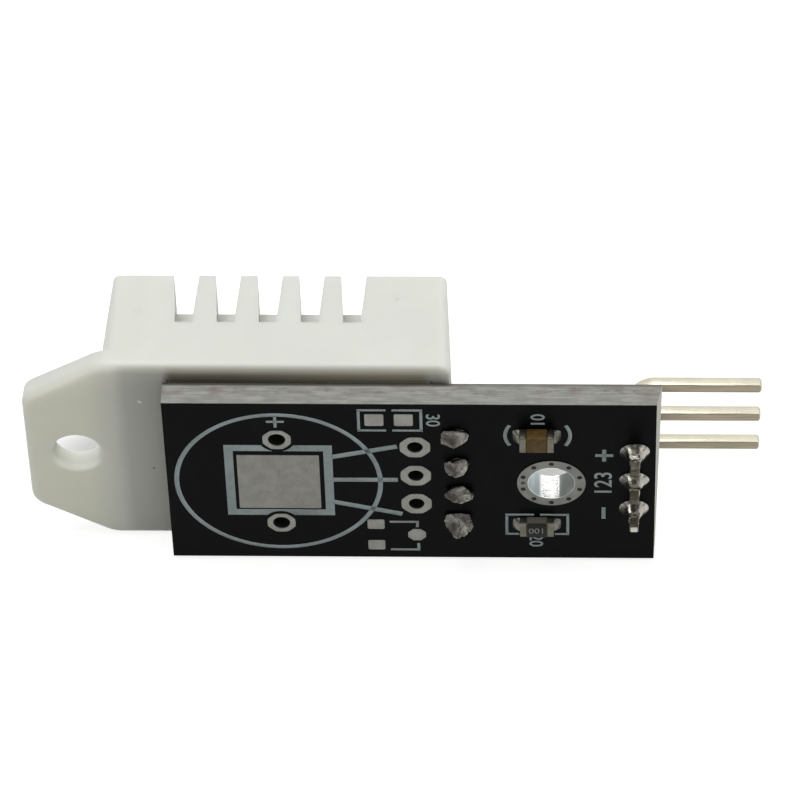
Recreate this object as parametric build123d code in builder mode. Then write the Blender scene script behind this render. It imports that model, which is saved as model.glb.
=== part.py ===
from build123d import *
from math import radians, tan
import os

# A temperature and humidity sensor module: a moulded sensor case soldered flat over one half of a
# small circuit board, with a three-pin right-angle header at the board's other end.
#
# The frame, in millimetres: X runs along the board towards the header, Y from the solder face
# towards the sensor, Z up across the board. The origin is the axis of the mounting hole at the
# solder face. The module stands on its long edge, on the sensor case's lower wall.

os.makedirs("parts", exist_ok=True)

# Circuit board
board_length = 28.5
board_width = 13.8
board_thickness = 1.6
hole_to_header_edge = 6.05

# Tinned copper on the board
copper_height = 0.05
barrel_wall = 0.05

# Mounting hole with its ring of small vias
mount_hole_diameter = 2.7
mount_barrel_wall = 0.18
mount_ring_diameter = 4.0
via_count = 10
via_diameter = 0.3
via_web = 0.05

# Pitch of the header, of the sensor's leads and of the spare row of holes
pitch = 2.54

# Height of the sensor's, the leads' and the header's common centreline over the board's own
row_axis_z = 0.35

# Spare footprint of a round part: a square land between two plated holes
round_part_x = -15.9
square_land_side = 4.8
round_pad_spacing = 7.5
round_pad_diameter = 1.75
round_pad_hole = 1.08

# Spare row of three plated holes with octagonal pads
spare_row_x = -7.9
spare_row_z = 0.6
spare_row_count = 3
spare_pad_width = 1.88
spare_pad_hole = 0.98

# Spare pair of lands near the upper edge
pair_x = -9.37
pair_z = 5.55
pair_spacing = 1.7
pair_land_width = 1.1
pair_land_height = 1.05

# Spare three-land footprint near the lower edge
trio_x = -9.15
trio_z = -4.79
trio_spacing_x = 2.36
trio_spacing_z = 1.9
trio_land_width = 1.0
trio_land_height = 0.88
trio_round_land = 1.05

# Sensor leads: flat strips that leave the case, bend and go down through the board
lead_count = 4
lead_hole_x = -5.4
lead_hole_diameter = 0.9
lead_pad_diameter = 1.6
lead_width = 0.5
lead_thickness = 0.25
lead_bend_radius = 0.35
lead_stub = 0.7
lead_tail_share = 0.112

# Pin header
pin_count = 3
header_x = 4.83
header_hole_diameter = 1.0
header_pad_diameter = 1.8
pin_side = 0.64
pin_stub = 1.75
pin_reach = 7.45
pin_bend_radius = 1.2
pin_tip_chamfer = 0.12
block_height = 2.3
block_depth = 2.5
block_corner = 0.45

# Solder joints: a hollow-sided cone on each header pin, a low mound on each sensor lead
cone_height = 1.0
cone_waist = 0.12
mound_height = 0.5
mound_shoulder = 0.3

# Chip capacitor and chip resistor, both on the mounting hole's side of the board
chip_x = -0.85
chip_length = 2.0
chip_width = 1.25
chip_band = 0.4
capacitor_z = 4.2
capacitor_height = 0.8
resistor_z = -3.75
resistor_height = 0.5
coat_length = 1.15
coat_thickness = 0.04
chip_land_overhang = 0.42
chip_joint_width = 1.05
capacitor_joint_height = 0.5
resistor_joint_height = 0.38

# Sensor case, with its back towards the board
case_gap = 0.25
case_length = 20.4
case_width = 15.1
case_depth = 7.7
case_draft = 3.2
case_corner_radius = 0.85
case_back_radius = 0.55
case_front_radius = 0.25
side_wall = 1.1
end_wall = 1.15
front_wall = 1.0
ledge = 0.5

# Mounting ear, flush with the case's back
ear_length = 4.7
ear_thickness = 1.4
ear_tip_width = 9.3
ear_tip_radius = 1.3
ear_shoulder_radius = 2.0
ear_hole_diameter = 2.8
ear_hole_to_tip = 3.0
ear_hole_edge = 0.25

# Grille: grooves right across the front, with slats between them, and ribs set back between the slats
groove_count = 5
groove_pitch = 2.45
groove_floor_width = 1.0
groove_mouth_width = 1.5
groove_depth_share = 0.512
groove_edge_radius = 0.15
grille_shift = -0.55
slat_root_step = 0.2
rib_count = 6
rib_thickness = 0.8
rib_recess = 1.45
rib_draft = 0.08
pocket_wall = 0.9

# Inside the case
cover_length = 15.3
cover_thickness = 0.9
cover_clearance = 0.05
inner_board_thickness = 0.8
inner_board_clearance = 0.1
slot_clearance = 0.06

# Humidity element, thermistor and controller chip on the inner board; shares are of the free length
# between the ledges or of the free depth between the inner board and the slats
element_place_share = -0.252
element_length_share = 0.378
element_z = -2.6
element_width = 4.6
element_thickness_share = 0.294
element_standoff_share = 0.176
element_border = 0.5
element_post_width = 0.6
electrode_count = 9
electrode_height = 0.06
electrode_width = 0.25
bead_z = 3.3
bead_headroom = 0.5
bead_proportion = 1.5
bead_wire_diameter = 0.3
bead_wire_length = 0.9
controller_place_share = 0.182
controller_width_share = 0.273
controller_length = 8.6
controller_headroom = 0.4
controller_standoff = 0.1
controller_chamfer = 0.12
controller_leg_count = 7
controller_leg_pitch = 1.27
controller_leg_width = 0.4
controller_leg_share = 0.063
controller_leg_thickness = 0.2

# Sizes that follow from those above
board_left = hole_to_header_edge - board_length
row_heights = [row_axis_z + (row - (lead_count - 1) / 2) * pitch for row in range(lead_count)]
pin_heights = [row_axis_z + (row - (pin_count - 1) / 2) * pitch for row in range(pin_count)]
via_circle_diameter = mount_hole_diameter + 2 * (mount_barrel_wall + via_web) + via_diameter
spare_heights = [spare_row_z + (row - (spare_row_count - 1) / 2) * pitch for row in range(spare_row_count)]
case_back = board_thickness + case_gap
case_front = case_back + case_depth
case_right = lead_hole_x - lead_bend_radius
case_left = case_right - case_length
case_centre_x = case_right - case_length / 2
cavity_right = case_right - end_wall
cover_left = cavity_right - cover_length
inner_back = case_back + cover_thickness
inner_front = inner_back + inner_board_thickness
groove_floor = case_front - groove_depth_share * case_depth
slat_root = groove_floor + slat_root_step
rib_top = case_front - rib_recess
grille_x = case_centre_x + grille_shift
grille_span = (groove_count - 1) * groove_pitch + groove_floor_width
inner_room = cover_length - 2 * ledge
room_depth = slat_root - inner_front


def plane_at(depth):
    """Plane parallel to the board at this depth behind its solder face, with X right and Z up."""
    return Plane.XZ.offset(-depth)


def case_plane(depth):
    """Plane at this depth that looks towards the case's front, centred on the case's body."""
    return Plane(origin=(case_centre_x, depth, row_axis_z), x_dir=(1, 0, 0), z_dir=(0, 1, 0))


# Circuit board: the laminate with every drilled hole

round_part_places = [(round_part_x, side * round_pad_spacing / 2) for side in (-1, 1)]
spare_row_places = [(spare_row_x, height) for height in spare_heights]
lead_places = [(lead_hole_x, height) for height in row_heights]
header_places = [(header_x, height) for height in pin_heights]
drilled_rows = (
    (round_part_places, round_pad_hole),
    (spare_row_places, spare_pad_hole),
    (lead_places, lead_hole_diameter),
    (header_places, header_hole_diameter),
)

with BuildPart() as circuit_board:
    with BuildSketch(plane_at(0)):
        with Locations((board_left + board_length / 2, 0)):
            Rectangle(board_length, board_width)
        Circle(mount_hole_diameter / 2 + mount_barrel_wall, mode=Mode.SUBTRACT)
        with PolarLocations(via_circle_diameter / 2, via_count, start_angle=90):
            Circle(via_diameter / 2, mode=Mode.SUBTRACT)
        for places, hole_diameter in drilled_rows:
            with Locations(*places):
                Circle(hole_diameter / 2 + barrel_wall, mode=Mode.SUBTRACT)
    extrude(amount=-board_thickness)

circuit_board.part.label = "circuit_board"
export_step(circuit_board.part, "parts/circuit_board.step")


# Mounting hole plating: a ring on each face joined by the barrel, and pierced by the vias

with BuildPart() as mounting_hole_plating:
    with BuildSketch(plane_at(-copper_height)):
        Circle(mount_ring_diameter / 2)
    extrude(amount=-copper_height)
    with BuildSketch(plane_at(board_thickness)):
        Circle(mount_ring_diameter / 2)
    extrude(amount=-copper_height)
    with BuildSketch(plane_at(0)):
        Circle(mount_hole_diameter / 2 + mount_barrel_wall)
    extrude(amount=-board_thickness)
    with BuildSketch(plane_at(-copper_height)):
        Circle(mount_hole_diameter / 2)
        with PolarLocations(via_circle_diameter / 2, via_count, start_angle=90):
            Circle(via_diameter / 2)
    extrude(amount=-board_thickness - 2 * copper_height, mode=Mode.SUBTRACT)

mounting_hole_plating.part.label = "mounting_hole_plating"
export_step(mounting_hole_plating.part, "parts/mounting_hole_plating.step")


# Square land of the spare round footprint

with BuildPart() as square_land:
    with BuildSketch(plane_at(-copper_height)):
        with Locations((round_part_x, 0)):
            Rectangle(square_land_side, square_land_side)
    extrude(amount=-copper_height)

square_land.part.label = "square_land"
export_step(square_land.part, "parts/square_land.step")


# Plated holes: a pad on each face joined by a barrel, round or octagonal

def build_pads(node, places, hole_diameter, pad_width, sides=0):
    """Build one node of like plated holes; no sides means round pads."""
    with BuildPart() as pads:
        for depth in (-copper_height, board_thickness):
            with BuildSketch(plane_at(depth)):
                with Locations(*places):
                    if sides:
                        RegularPolygon(pad_width / 2, sides, major_radius=False, rotation=180 / sides)
                    else:
                        Circle(pad_width / 2)
            extrude(amount=-copper_height)
        with BuildSketch(plane_at(0)):
            with Locations(*places):
                Circle(hole_diameter / 2 + barrel_wall)
        extrude(amount=-board_thickness)
        with BuildSketch(plane_at(-copper_height)):
            with Locations(*places):
                Circle(hole_diameter / 2)
        extrude(amount=-board_thickness - 2 * copper_height, mode=Mode.SUBTRACT)
    pads.part.label = node
    export_step(pads.part, f"parts/{node}.step")


build_pads("round_part_pads", round_part_places, round_pad_hole, round_pad_diameter)
build_pads("spare_row_pads", spare_row_places, spare_pad_hole, spare_pad_width, sides=8)
build_pads("lead_pads", lead_places, lead_hole_diameter, lead_pad_diameter)
build_pads("header_pads", header_places, header_hole_diameter, header_pad_diameter)


# Bare lands of the spare chip footprints

with BuildPart() as pair_lands:
    with BuildSketch(plane_at(-copper_height)):
        with Locations((pair_x, pair_z)):
            with GridLocations(pair_spacing, pitch, 2, 1):
                Rectangle(pair_land_width, pair_land_height)
    extrude(amount=-copper_height)

pair_lands.part.label = "pair_lands"
export_step(pair_lands.part, "parts/pair_lands.step")

with BuildPart() as trio_lands:
    with BuildSketch(plane_at(-copper_height)):
        with Locations((trio_x - trio_spacing_x / 2, trio_z)):
            with GridLocations(pitch, trio_spacing_z, 1, 2):
                Rectangle(trio_land_width, trio_land_height)
        with Locations((trio_x + trio_spacing_x / 2, trio_z)):
            RegularPolygon(trio_round_land / 2, 8, major_radius=False)
    extrude(amount=-copper_height)

trio_lands.part.label = "trio_lands"
export_step(trio_lands.part, "parts/trio_lands.step")


# Pin header: a block with a chamfered cell for each pin, and square pins bent through a right angle

pin_run = board_thickness + block_height + pin_bend_radius

with BuildPart() as header_block:
    with BuildSketch(plane_at(board_thickness)):
        for height in pin_heights:
            with BuildSketch(mode=Mode.PRIVATE) as cell:
                Rectangle(block_depth, pitch)
                chamfer(cell.vertices(), block_corner)
            with Locations((header_x, height)):
                add(cell.sketch)
        with Locations((header_x, row_axis_z)):
            Rectangle(block_depth - 2 * block_corner, pin_count * pitch - 2 * block_corner)
        for height in pin_heights:
            with Locations((header_x, height)):
                Rectangle(pin_side, pin_side, mode=Mode.SUBTRACT)
    extrude(amount=-block_height)
    with BuildSketch(plane_at(board_thickness)):
        for height in pin_heights:
            with Locations((header_x, height)):
                Circle(header_pad_diameter / 2)
    extrude(amount=-copper_height, mode=Mode.SUBTRACT)

header_block.part.label = "header_block"
export_step(header_block.part, "parts/header_block.step")

for row, height in enumerate(pin_heights):
    with BuildPart() as header_pin:
        with BuildSketch(Plane.XY.offset(height)):
            with BuildLine() as pin_line:
                Line((header_x, -pin_stub), (header_x, pin_run - pin_bend_radius))
                JernArc((header_x, pin_run - pin_bend_radius), (0, 1), pin_bend_radius, -90)
                Line((header_x + pin_bend_radius, pin_run), (header_x + pin_reach, pin_run))
            trace(pin_line.line, line_width=pin_side)
        extrude(amount=pin_side / 2, both=True)
        chamfer(header_pin.faces().sort_by(Axis.X)[-1].edges(), pin_tip_chamfer)
        chamfer(header_pin.faces().sort_by(Axis.Y)[0].edges(), pin_tip_chamfer)
    header_pin.part.label = f"header_pin_{row + 1}"
    export_step(header_pin.part, f"parts/header_pin_{row + 1}.step")


# Solder joints of the header: a hollow-sided cone round the pin, with a plug in the plated hole

for row, height in enumerate(pin_heights):
    with BuildPart() as header_joint:
        with BuildSketch(Plane.XY.offset(height)):
            with BuildLine():
                rim = (header_x + header_pad_diameter / 2, -copper_height)
                top = (header_x + pin_side / 2 + cone_waist, -cone_height)
                foot = (header_x + header_hole_diameter / 2, -copper_height)
                Line((header_x, board_thickness), (header_x, -cone_height))
                Line((header_x, -cone_height), top)
                RadiusArc(top, rim, 2 * cone_height)
                Line(rim, foot)
                Line(foot, (header_x + header_hole_diameter / 2, board_thickness))
                Line((header_x + header_hole_diameter / 2, board_thickness), (header_x, board_thickness))
            make_face()
        revolve(axis=Axis((header_x, 0, height), (0, 1, 0)))
        with BuildSketch(plane_at(-cone_height)):
            with Locations((header_x, height)):
                Rectangle(pin_side, pin_side)
        extrude(amount=-board_thickness - cone_height, mode=Mode.SUBTRACT)
    header_joint.part.label = f"header_joint_{row + 1}"
    export_step(header_joint.part, f"parts/header_joint_{row + 1}.step")


# Sensor leads: strips that lie on the inner board, leave through the end wall and turn down

lead_run = inner_front + lead_thickness / 2
tail_start = cavity_right - ledge - lead_tail_share * inner_room

for row, height in enumerate(row_heights):
    with BuildPart() as sensor_lead:
        with BuildSketch(Plane.XY.offset(height)):
            with BuildLine() as lead_line:
                Line((tail_start, lead_run), (lead_hole_x - lead_bend_radius, lead_run))
                JernArc((lead_hole_x - lead_bend_radius, lead_run), (1, 0), lead_bend_radius, -90)
                Line((lead_hole_x, lead_run - lead_bend_radius), (lead_hole_x, -lead_stub))
            trace(lead_line.line, line_width=lead_thickness)
        extrude(amount=lead_width / 2, both=True)
    sensor_lead.part.label = f"sensor_lead_{row + 1}"
    export_step(sensor_lead.part, f"parts/sensor_lead_{row + 1}.step")


# Solder joints of the leads: a low mound over the trimmed lead, with a plug in the plated hole

for row, height in enumerate(row_heights):
    with BuildPart() as lead_joint:
        with BuildSketch(Plane.XY.offset(height)):
            with BuildLine():
                rim = (lead_hole_x + lead_pad_diameter / 2, -copper_height)
                shoulder = (lead_hole_x + mound_shoulder, -mound_height)
                foot = (lead_hole_x + lead_hole_diameter / 2, -copper_height)
                Line((lead_hole_x, board_thickness), (lead_hole_x, -mound_height))
                Line((lead_hole_x, -mound_height), shoulder)
                RadiusArc(rim, shoulder, lead_pad_diameter / 2)
                Line(rim, foot)
                Line(foot, (lead_hole_x + lead_hole_diameter / 2, board_thickness))
                Line((lead_hole_x + lead_hole_diameter / 2, board_thickness),
                     (lead_hole_x, board_thickness))
            make_face()
        revolve(axis=Axis((lead_hole_x, 0, height), (0, 1, 0)))
        with BuildSketch(plane_at(-mound_height)):
            with Locations((lead_hole_x, height)):
                Rectangle(lead_thickness, lead_width)
        extrude(amount=-board_thickness - mound_height, mode=Mode.SUBTRACT)
    lead_joint.part.label = f"lead_joint_{row + 1}"
    export_step(lead_joint.part, f"parts/lead_joint_{row + 1}.step")


# Chip capacitor and chip resistor: a ceramic body between two metal bands, on two solder fillets

def build_chip(name, centre_z, height, joint_height):
    """Build the body, end bands and solder fillets of one chip part."""
    with BuildPart() as body:
        with BuildSketch(plane_at(-height)):
            with Locations((chip_x, centre_z)):
                Rectangle(chip_length - 2 * chip_band, chip_width)
        extrude(amount=-height)
    body.part.label = f"{name}_body"
    export_step(body.part, f"parts/{name}_body.step")

    for side, side_name in ((-1, "left"), (1, "right")):
        with BuildPart() as band:
            with BuildSketch(plane_at(-height)):
                with Locations((chip_x + side * (chip_length - chip_band) / 2, centre_z)):
                    Rectangle(chip_band, chip_width)
            extrude(amount=-height)
        band.part.label = f"{name}_band_{side_name}"
        export_step(band.part, f"parts/{name}_band_{side_name}.step")

        end_x = chip_x + side * chip_length / 2
        toe_x = end_x + side * chip_land_overhang
        with BuildPart() as joint:
            with BuildSketch(Plane.XY.offset(centre_z)):
                with BuildLine():
                    Line((end_x, 0), (end_x, -joint_height))
                    Spline((end_x, -joint_height), (toe_x, -copper_height),
                           tangents=[(side * 0.2, 1), (side, 0.2)])
                    Line((toe_x, -copper_height), (toe_x, 0))
                    Line((toe_x, 0), (end_x, 0))
                make_face()
            extrude(amount=chip_joint_width / 2, both=True)
        joint.part.label = f"{name}_joint_{side_name}"
        export_step(joint.part, f"parts/{name}_joint_{side_name}.step")


build_chip("capacitor", capacitor_z, capacitor_height, capacitor_joint_height)
build_chip("resistor", resistor_z, resistor_height, resistor_joint_height)

with BuildPart() as resistor_coat:
    with BuildSketch(plane_at(-resistor_height - coat_thickness)):
        with Locations((chip_x, resistor_z)):
            Rectangle(coat_length, chip_width)
    extrude(amount=-coat_thickness)

resistor_coat.part.label = "resistor_coat"
export_step(resistor_coat.part, "parts/resistor_coat.step")


# Sensor case: a drafted shell with a mounting ear and a two-layer grille across its front

ear_hole_x = case_left - ear_length + ear_hole_to_tip
cavity_width = case_width - 2 * side_wall
grille_left = grille_x - grille_span / 2
grille_right = grille_x + grille_span / 2
ceiling_inset = case_depth * tan(radians(case_draft))

with BuildPart() as sensor_case:
    # Base plate with the ear: it narrows towards a tip with rounded corners
    with BuildSketch(case_plane(case_back)) as base:
        with BuildLine():
            Polyline(
                (case_length / 2, case_width / 2),
                (-case_length / 2, case_width / 2),
                (-case_length / 2 - ear_length, ear_tip_width / 2),
                (-case_length / 2 - ear_length, -ear_tip_width / 2),
                (-case_length / 2, -case_width / 2),
                (case_length / 2, -case_width / 2),
                close=True,
            )
        make_face()
        fillet(base.vertices().group_by(Axis.X)[1], ear_shoulder_radius)
        fillet(base.vertices().group_by(Axis.X)[0], ear_tip_radius)
        fillet(base.vertices().group_by(Axis.X)[-1], case_corner_radius)
    extrude(amount=ear_thickness, taper=case_draft)

    # Drafted body, narrower at the front
    with BuildSketch(case_plane(case_back)):
        RectangleRounded(case_length, case_width, case_corner_radius)
    extrude(amount=case_depth, taper=case_draft)

    # Soft edges round the back and, smaller, round the front
    fillet(sensor_case.faces().sort_by(Axis.Y)[0].edges(), case_back_radius)
    fillet(sensor_case.faces().sort_by(Axis.Y)[-1].edges(), case_front_radius)

    # Mounting hole through the ear, with softened rims
    with BuildSketch(plane_at(case_back)):
        with Locations((ear_hole_x, row_axis_z)):
            Circle(ear_hole_diameter / 2)
    extrude(amount=-ear_thickness, mode=Mode.SUBTRACT)
    hole_rims = sensor_case.edges().filter_by(GeomType.CIRCLE).filter_by(
        lambda edge: abs(edge.arc_center.X - ear_hole_x) < ear_hole_edge and edge.is_closed
    )
    fillet(hole_rims, ear_hole_edge)

    # Grooves right across the front, wider at the mouth, with softened edges
    with BuildSketch(Plane.XY.offset(row_axis_z)) as grooves:
        for groove in range(groove_count):
            groove_x = grille_x + (groove - (groove_count - 1) / 2) * groove_pitch
            with BuildLine():
                Polyline(
                    (groove_x - groove_floor_width / 2, groove_floor),
                    (groove_x + groove_floor_width / 2, groove_floor),
                    (groove_x + groove_mouth_width / 2, case_front),
                    (groove_x - groove_mouth_width / 2, case_front),
                    close=True,
                )
            make_face()
        with Locations((grille_x, case_front + groove_edge_radius)):
            Rectangle(grille_span + groove_pitch, 2 * groove_edge_radius)
        mouth_corners = grooves.vertices().filter_by_position(
            Axis.Y, case_front - groove_edge_radius / 2, case_front + groove_edge_radius / 2
        )
        mouth_corners = mouth_corners.filter_by(
            lambda corner: abs(corner.X - grille_x) < (grille_span + groove_pitch / 2) / 2
        )
        fillet(mouth_corners, groove_edge_radius)
    extrude(amount=case_width, both=True, mode=Mode.SUBTRACT)

    # Cavity behind the grille, with a ledge at each end for the inner board, and the end pocket
    with BuildSketch(plane_at(case_back)):
        with Locations(((cover_left + cavity_right) / 2, row_axis_z)):
            Rectangle(cavity_right - cover_left, cavity_width)
    extrude(amount=-(inner_front - case_back), mode=Mode.SUBTRACT)
    with BuildSketch(plane_at(inner_front)):
        with Locations(((cover_left + cavity_right) / 2, row_axis_z)):
            Rectangle(cavity_right - cover_left - 2 * ledge, cavity_width)
    extrude(amount=-(slat_root - inner_front), mode=Mode.SUBTRACT)
    pocket_left = grille_right + pocket_wall
    pocket_right = cavity_right - ledge
    with BuildSketch(plane_at(slat_root)):
        with Locations(((pocket_left + pocket_right) / 2, row_axis_z)):
            Rectangle(pocket_right - pocket_left, cavity_width - 2 * ceiling_inset)
    extrude(amount=-(case_front - front_wall - slat_root), mode=Mode.SUBTRACT)

    # Ribs that cross behind the slats, with equal openings between them and the side walls
    opening_width = (cavity_width - rib_count * rib_thickness) / (rib_count + 1)
    rib_pitch = opening_width + rib_thickness
    with BuildSketch(Plane.YZ.offset(grille_left - groove_floor_width / 2)):
        for rib in range(rib_count):
            rib_z = row_axis_z + (rib - (rib_count - 1) / 2) * rib_pitch
            with BuildLine():
                Polyline(
                    (slat_root, rib_z - rib_thickness / 2),
                    (slat_root, rib_z + rib_thickness / 2),
                    (rib_top, rib_z + rib_thickness / 2 - rib_draft),
                    (rib_top, rib_z - rib_thickness / 2 + rib_draft),
                    close=True,
                )
            make_face()
    extrude(amount=grille_span + groove_floor_width)

    # Slots in the end wall for the leads
    with BuildSketch(Plane.YZ.offset(cavity_right - 2 * ledge)):
        for height in row_heights:
            with Locations((inner_front + (lead_thickness + slot_clearance) / 2, height)):
                Rectangle(lead_thickness + slot_clearance, lead_width + 2 * slot_clearance)
    extrude(amount=end_wall + 3 * ledge, mode=Mode.SUBTRACT)

sensor_case.part.label = "sensor_case"
export_step(sensor_case.part, "parts/sensor_case.step")


# Cover that closes the case's back

with BuildPart() as case_cover:
    with BuildSketch(plane_at(case_back)):
        with Locations(((cover_left + cavity_right) / 2, row_axis_z)):
            Rectangle(cover_length - 2 * cover_clearance, cavity_width - 2 * cover_clearance)
    extrude(amount=-cover_thickness)

case_cover.part.label = "case_cover"
export_step(case_cover.part, "parts/case_cover.step")


# Inner board, held between the cover and the ledges

inner_board_length = cover_length - 2 * inner_board_clearance
inner_centre_x = (cover_left + cavity_right) / 2

with BuildPart() as inner_board:
    with BuildSketch(plane_at(inner_back)):
        with Locations((inner_centre_x, row_axis_z)):
            Rectangle(inner_board_length, cavity_width - 2 * inner_board_clearance)
    extrude(amount=-inner_board_thickness)

inner_board.part.label = "inner_board"
export_step(inner_board.part, "parts/inner_board.step")


# Humidity element: a ceramic plate with raised comb electrodes, held up by two end terminals

element_length = element_length_share * inner_room
element_thickness = element_thickness_share * room_depth
element_standoff = element_standoff_share * room_depth
element_centre_x = inner_centre_x + element_place_share * inner_room
element_centre_z = row_axis_z + element_z
electrode_pitch = (element_length - 2 * element_border) / (electrode_count - 1)
element_top = inner_front + element_standoff + element_thickness

with BuildPart() as humidity_element:
    with BuildSketch(plane_at(inner_front + element_standoff)):
        with Locations((element_centre_x, element_centre_z)):
            Rectangle(element_length, element_width)
    extrude(amount=-element_thickness)
    with BuildSketch(plane_at(element_top)):
        for finger in range(electrode_count):
            finger_x = element_centre_x + (finger - (electrode_count - 1) / 2) * electrode_pitch
            finger_shift = element_border / 2 if finger % 2 else -element_border / 2
            with Locations((finger_x, element_centre_z + finger_shift)):
                Rectangle(electrode_width, element_width - 3 * element_border)
        for side in (-1, 1):
            bar_z = element_centre_z + side * (element_width / 2 - element_border)
            with Locations((element_centre_x, bar_z)):
                Rectangle(element_length - element_border, electrode_width)
    extrude(amount=-electrode_height)

humidity_element.part.label = "humidity_element"
export_step(humidity_element.part, "parts/humidity_element.step")

with BuildPart() as element_terminals:
    with BuildSketch(plane_at(inner_front)):
        with Locations((element_centre_x, element_centre_z)):
            with GridLocations(element_length - element_post_width, pitch, 2, 1):
                Rectangle(element_post_width, element_width - 2 * element_border)
    extrude(amount=-element_standoff)

element_terminals.part.label = "element_terminals"
export_step(element_terminals.part, "parts/element_terminals.step")


# Thermistor: a rounded bead on two wires that stand on the inner board

bead_diameter = room_depth - bead_headroom
bead_length = bead_proportion * bead_diameter
bead_centre_x = element_centre_x
bead_centre_z = row_axis_z + bead_z
bead_axis_y = inner_front + bead_diameter / 2

with BuildPart() as thermistor_bead:
    with BuildSketch(Plane.XY.offset(bead_centre_z)):
        with Locations((bead_centre_x, bead_axis_y)):
            SlotOverall(bead_length, bead_diameter)
            Rectangle(bead_length, bead_diameter / 2, align=(Align.CENTER, Align.MAX), mode=Mode.SUBTRACT)
    revolve(axis=Axis((bead_centre_x, bead_axis_y, bead_centre_z), (1, 0, 0)))

thermistor_bead.part.label = "thermistor_bead"
export_step(thermistor_bead.part, "parts/thermistor_bead.step")

with BuildPart() as thermistor_wires:
    for side in (-1, 1):
        end_x = bead_centre_x + side * bead_length / 2
        bead_end = Plane(origin=(end_x, bead_axis_y, bead_centre_z), x_dir=(0, 1, 0), z_dir=(side, 0, 0))
        with BuildSketch(bead_end):
            Circle(bead_wire_diameter / 2)
        extrude(amount=bead_wire_length)
        with BuildSketch(plane_at(inner_front)):
            with Locations((end_x + side * bead_wire_length, bead_centre_z)):
                Circle(bead_wire_diameter / 2)
        extrude(amount=-bead_diameter / 2 - bead_wire_diameter / 2)

thermistor_wires.part.label = "thermistor_wires"
export_step(thermistor_wires.part, "parts/thermistor_wires.step")


# Controller chip: a moulded package on two rows of bent legs

controller_width = controller_width_share * inner_room
controller_height = room_depth - controller_standoff - controller_headroom
controller_leg_length = controller_leg_share * inner_room
controller_centre_x = inner_centre_x + controller_place_share * inner_room
controller_base = inner_front + controller_standoff

with BuildPart() as controller_chip:
    with BuildSketch(plane_at(controller_base)):
        with Locations((controller_centre_x, row_axis_z)):
            Rectangle(controller_width, controller_length)
    extrude(amount=-controller_height)
    chamfer(controller_chip.faces().sort_by(Axis.Y)[-1].edges(), controller_chamfer)

controller_chip.part.label = "controller_chip"
export_step(controller_chip.part, "parts/controller_chip.step")

with BuildPart() as controller_legs:
    for side in (-1, 1):
        root_x = controller_centre_x + side * controller_width / 2
        knee_x = root_x + side * controller_leg_length / 2
        toe_x = root_x + side * controller_leg_length
        knee_y = controller_base + controller_height / 2
        foot_y = inner_front + controller_leg_thickness / 2
        for leg in range(controller_leg_count):
            leg_z = row_axis_z + (leg - (controller_leg_count - 1) / 2) * controller_leg_pitch
            with BuildSketch(Plane.XY.offset(leg_z)):
                with BuildLine() as leg_line:
                    Polyline((root_x, knee_y), (knee_x, knee_y), (knee_x, foot_y), (toe_x, foot_y))
                trace(leg_line.line, line_width=controller_leg_thickness)
            extrude(amount=controller_leg_width / 2, both=True)

controller_legs.part.label = "controller_legs"
export_step(controller_legs.part, "parts/controller_legs.step")
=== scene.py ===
import math

import bmesh
import bpy
from bpy.props import FloatProperty, FloatVectorProperty, IntProperty, PointerProperty
from mathutils import Matrix, Vector, noise


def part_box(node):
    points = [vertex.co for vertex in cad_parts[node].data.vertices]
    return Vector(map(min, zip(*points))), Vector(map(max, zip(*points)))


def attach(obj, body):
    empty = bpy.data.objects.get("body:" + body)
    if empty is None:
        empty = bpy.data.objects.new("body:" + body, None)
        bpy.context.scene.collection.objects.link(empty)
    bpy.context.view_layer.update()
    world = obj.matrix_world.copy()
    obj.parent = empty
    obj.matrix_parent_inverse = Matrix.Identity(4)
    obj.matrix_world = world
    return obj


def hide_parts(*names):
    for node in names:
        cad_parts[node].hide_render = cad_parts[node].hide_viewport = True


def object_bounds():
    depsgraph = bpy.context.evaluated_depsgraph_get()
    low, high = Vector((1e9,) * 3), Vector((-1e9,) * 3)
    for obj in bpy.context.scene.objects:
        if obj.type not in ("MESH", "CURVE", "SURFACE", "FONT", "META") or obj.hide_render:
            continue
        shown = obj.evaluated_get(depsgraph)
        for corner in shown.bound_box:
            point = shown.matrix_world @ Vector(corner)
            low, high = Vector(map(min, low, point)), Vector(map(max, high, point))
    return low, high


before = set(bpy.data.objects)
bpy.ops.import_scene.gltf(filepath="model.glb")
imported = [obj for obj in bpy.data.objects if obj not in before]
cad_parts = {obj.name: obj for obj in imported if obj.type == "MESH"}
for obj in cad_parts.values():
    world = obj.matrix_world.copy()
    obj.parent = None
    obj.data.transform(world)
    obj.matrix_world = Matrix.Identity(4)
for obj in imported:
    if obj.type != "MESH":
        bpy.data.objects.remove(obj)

bl_info = {
    "name": "Temperature Humidity Sensor Module",
    "version": (1, 0, 0),
    "blender": (4, 5, 0),
    "location": "View3D > Sidebar > Sensor Module",
    "description": "Gives the packed solids of a sensor module their finishes, board print and solder",
    "category": "Object",
}

MM = 0.001
BODY = "root"
CAD_BOX = [list(corner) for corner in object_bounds()]

# Sizes and places on the module, in millimetres; a place is a pair, along the board and up
BOARD_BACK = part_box("circuit_board")[1].y / MM
MOUNT_RADIUS = 1.35
MOUNT_HOLE = (0.0, 0.0)
EAR_HOLE = (-27.85, 0.35)
ROUND_PART = (-15.93, -0.03)
ROUND_PART_RADIUS = 5.96
ROUND_PART_HOLES = ((-15.9, -3.75), (-15.9, 3.75))
HOLE_CLEARANCE = 1.06
SQUARE_FRAME = (-15.87, 0.1)
SQUARE_FRAME_OUTER_HALF = 3.15
SQUARE_FRAME_INNER_HALF = 2.63
THIN_LINE = 0.17
FLOOR_HALF = 1500.0

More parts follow.
